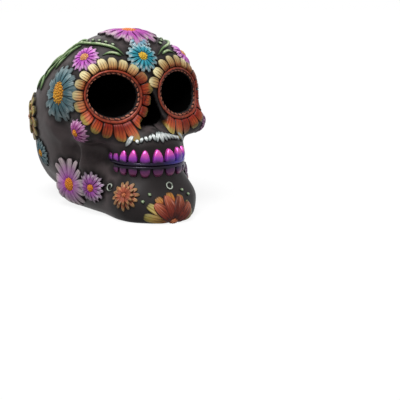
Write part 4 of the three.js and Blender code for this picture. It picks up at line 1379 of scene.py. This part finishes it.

# Painted shadow, body and painted highlight colours of the vines, seeds, leaves and wires
sage = metal_paint("sage_vine", "#141d10", "#668552", "#c6d6aa", 0.0, 0.42)
pale_seed = metal_paint("pale_seed", "#1a2116", "#7f9470", "#ccd6bc", 0.0, 0.4)
silver = metal_paint("silver_leaf", "#0e1011", "#8d9493", "#dde1df", 0.25, 0.34)
grey_wire = metal_paint("grey_wire", "#141613", "#6f766b", "#c2c8bc", 0.2, 0.36)
for vine_side in SIDES:
    make_vine(vine_side, sage)
    make_curl(vine_side, sage)
    make_jaw_curl(vine_side, grey_wire)
    for number in range(1, 7):
        make_seed(f"vine_bead_{number}_{SIDES[vine_side]}", "vine_green", pale_seed, 1.35)
make_moustache(silver)
make_chin_ring(grey_wire)
for number in range(1, 5):
    make_seed(f"chin_bead_{number}", "leaf_silver", pale_seed, 1.2)

sunk = np.array([skin.find_nearest(ROW_TO_HEAD @ point.co)[3] for point in head.data.vertices])
note(head, "recess_black_and_shade", np.clip(sunk / RECESS_DEPTH, 0, 1))
# Painted shade near the ornaments and over lip and chin
note(head, "painted_shade", np.maximum(np.clip(1 - from_ornaments() / SHADE_REACH, 0, 1), muzzle_shade()))
dressed([head], resin_paint(), recess_black_and_shade_paint())
finish_piece(head, "resin_dark", "cranium", "mandible")
# Faces deep in the openings take the black, both their paint and their painted shade
for face in head.data.polygons:
    face.material_index = int(all(sunk[i] > RECESS_DEPTH for i in face.vertices))


# Floor, light and camera, in metres
WHITE = (1, 1, 1, 1)
SKY_STRENGTH = 0.06
LAMP_TARGET = Vector((0, 0, 0.06))


def make_floor():
    """Grey to the light, so that it throws little back, and nearly glowing white to the camera."""
    bpy.ops.mesh.primitive_plane_add(size=6)
    floor = bpy.context.object
    floor.name = "floor"
    paint = Paint("white_floor")
    matt = paint.node("BsdfDiffuse", {}, {"Color": (0.3, 0.3, 0.3, 1)})
    card = paint.node("BsdfDiffuse", {}, {"Color": (0.95, 0.95, 0.95, 1)})
    glow = paint.node("Emission", {}, {"Color": WHITE, "Strength": 1.0})
    shown = paint.node("MixShader", {}, {0: 0.88, 1: card, 2: glow})
    surface = paint.node("MixShader", {}, {0: paint.seen_rays(), 1: matt, 2: shown})
    paint.node("OutputMaterial", {}, {"Surface": surface})
    floor.data.materials.append(paint.made)


def make_lamp(name, kind, place, power, **settings):
    light = bpy.data.lights.new(name, kind)
    light.energy = power
    for setting, value in settings.items():
        setattr(light, setting, value)
    lamp = bpy.data.objects.new(name, light)
    bpy.context.scene.collection.objects.link(lamp)
    lamp.location = place
    lamp.rotation_euler = (LAMP_TARGET - Vector(place)).to_track_quat("-Z", "Y").to_euler()


def make_sky():
    """A dim sky that the camera sees as a white backdrop."""
    paint = Paint("studio", library="worlds")
    shine = paint.node("Background", {}, {"Color": WHITE, "Strength": SKY_STRENGTH})
    backdrop = paint.node("Background", {}, {"Color": WHITE})
    blend = paint.node("MixShader", {}, {0: paint.seen_rays(), 1: shine, 2: backdrop})
    paint.node("OutputWorld", {}, {"Surface": blend})
    bpy.context.scene.world = paint.made


CAMERA_TARGET = Vector((0, 0.004686, 0.062))
CAMERA_DISTANCE = 0.65
CAMERA_AZIMUTH = math.radians(28)
CAMERA_ELEVATION = math.radians(8)
SENSOR_WIDTH = 36
# Where the target sits in a frame this many pixels wide, from its middle, at this focal length in pixels
FRAME_WIDTH = 400
TARGET_OFFSET = Vector((-83.2, 89.6, -949))


def make_camera():
    lens = bpy.data.cameras.new("camera")
    lens.sensor_width = SENSOR_WIDTH
    lens.lens = SENSOR_WIDTH * -TARGET_OFFSET.z / FRAME_WIDTH
    camera = bpy.data.objects.new("camera", lens)
    bpy.context.scene.collection.objects.link(camera)
    flat = math.cos(CAMERA_ELEVATION)
    back = Vector((-math.sin(CAMERA_AZIMUTH) * flat, -math.cos(CAMERA_AZIMUTH) * flat, math.sin(CAMERA_ELEVATION)))
    camera.location = CAMERA_TARGET + CAMERA_DISTANCE * back
    camera.rotation_mode = "QUATERNION"
    straight = (-back).to_track_quat("-Z", "Y")
    camera.rotation_quaternion = straight @ TARGET_OFFSET.normalized().rotation_difference(Vector((0, 0, -1)))
    bpy.context.scene.camera = camera


make_floor()
make_lamp("key", "SUN", place=(-0.32, -0.2, 1.0), power=3.6, angle=math.radians(32))
make_lamp("fill", "AREA", place=(-0.6, -1.0, 0.5), power=0.4, shape="DISK", size=0.8)
make_lamp("rim", "AREA", place=(0.3, 0.9, 0.8), power=1.5, shape="DISK", size=0.6)
make_sky()
make_camera()
bpy.context.scene.view_settings.view_transform = "Standard"
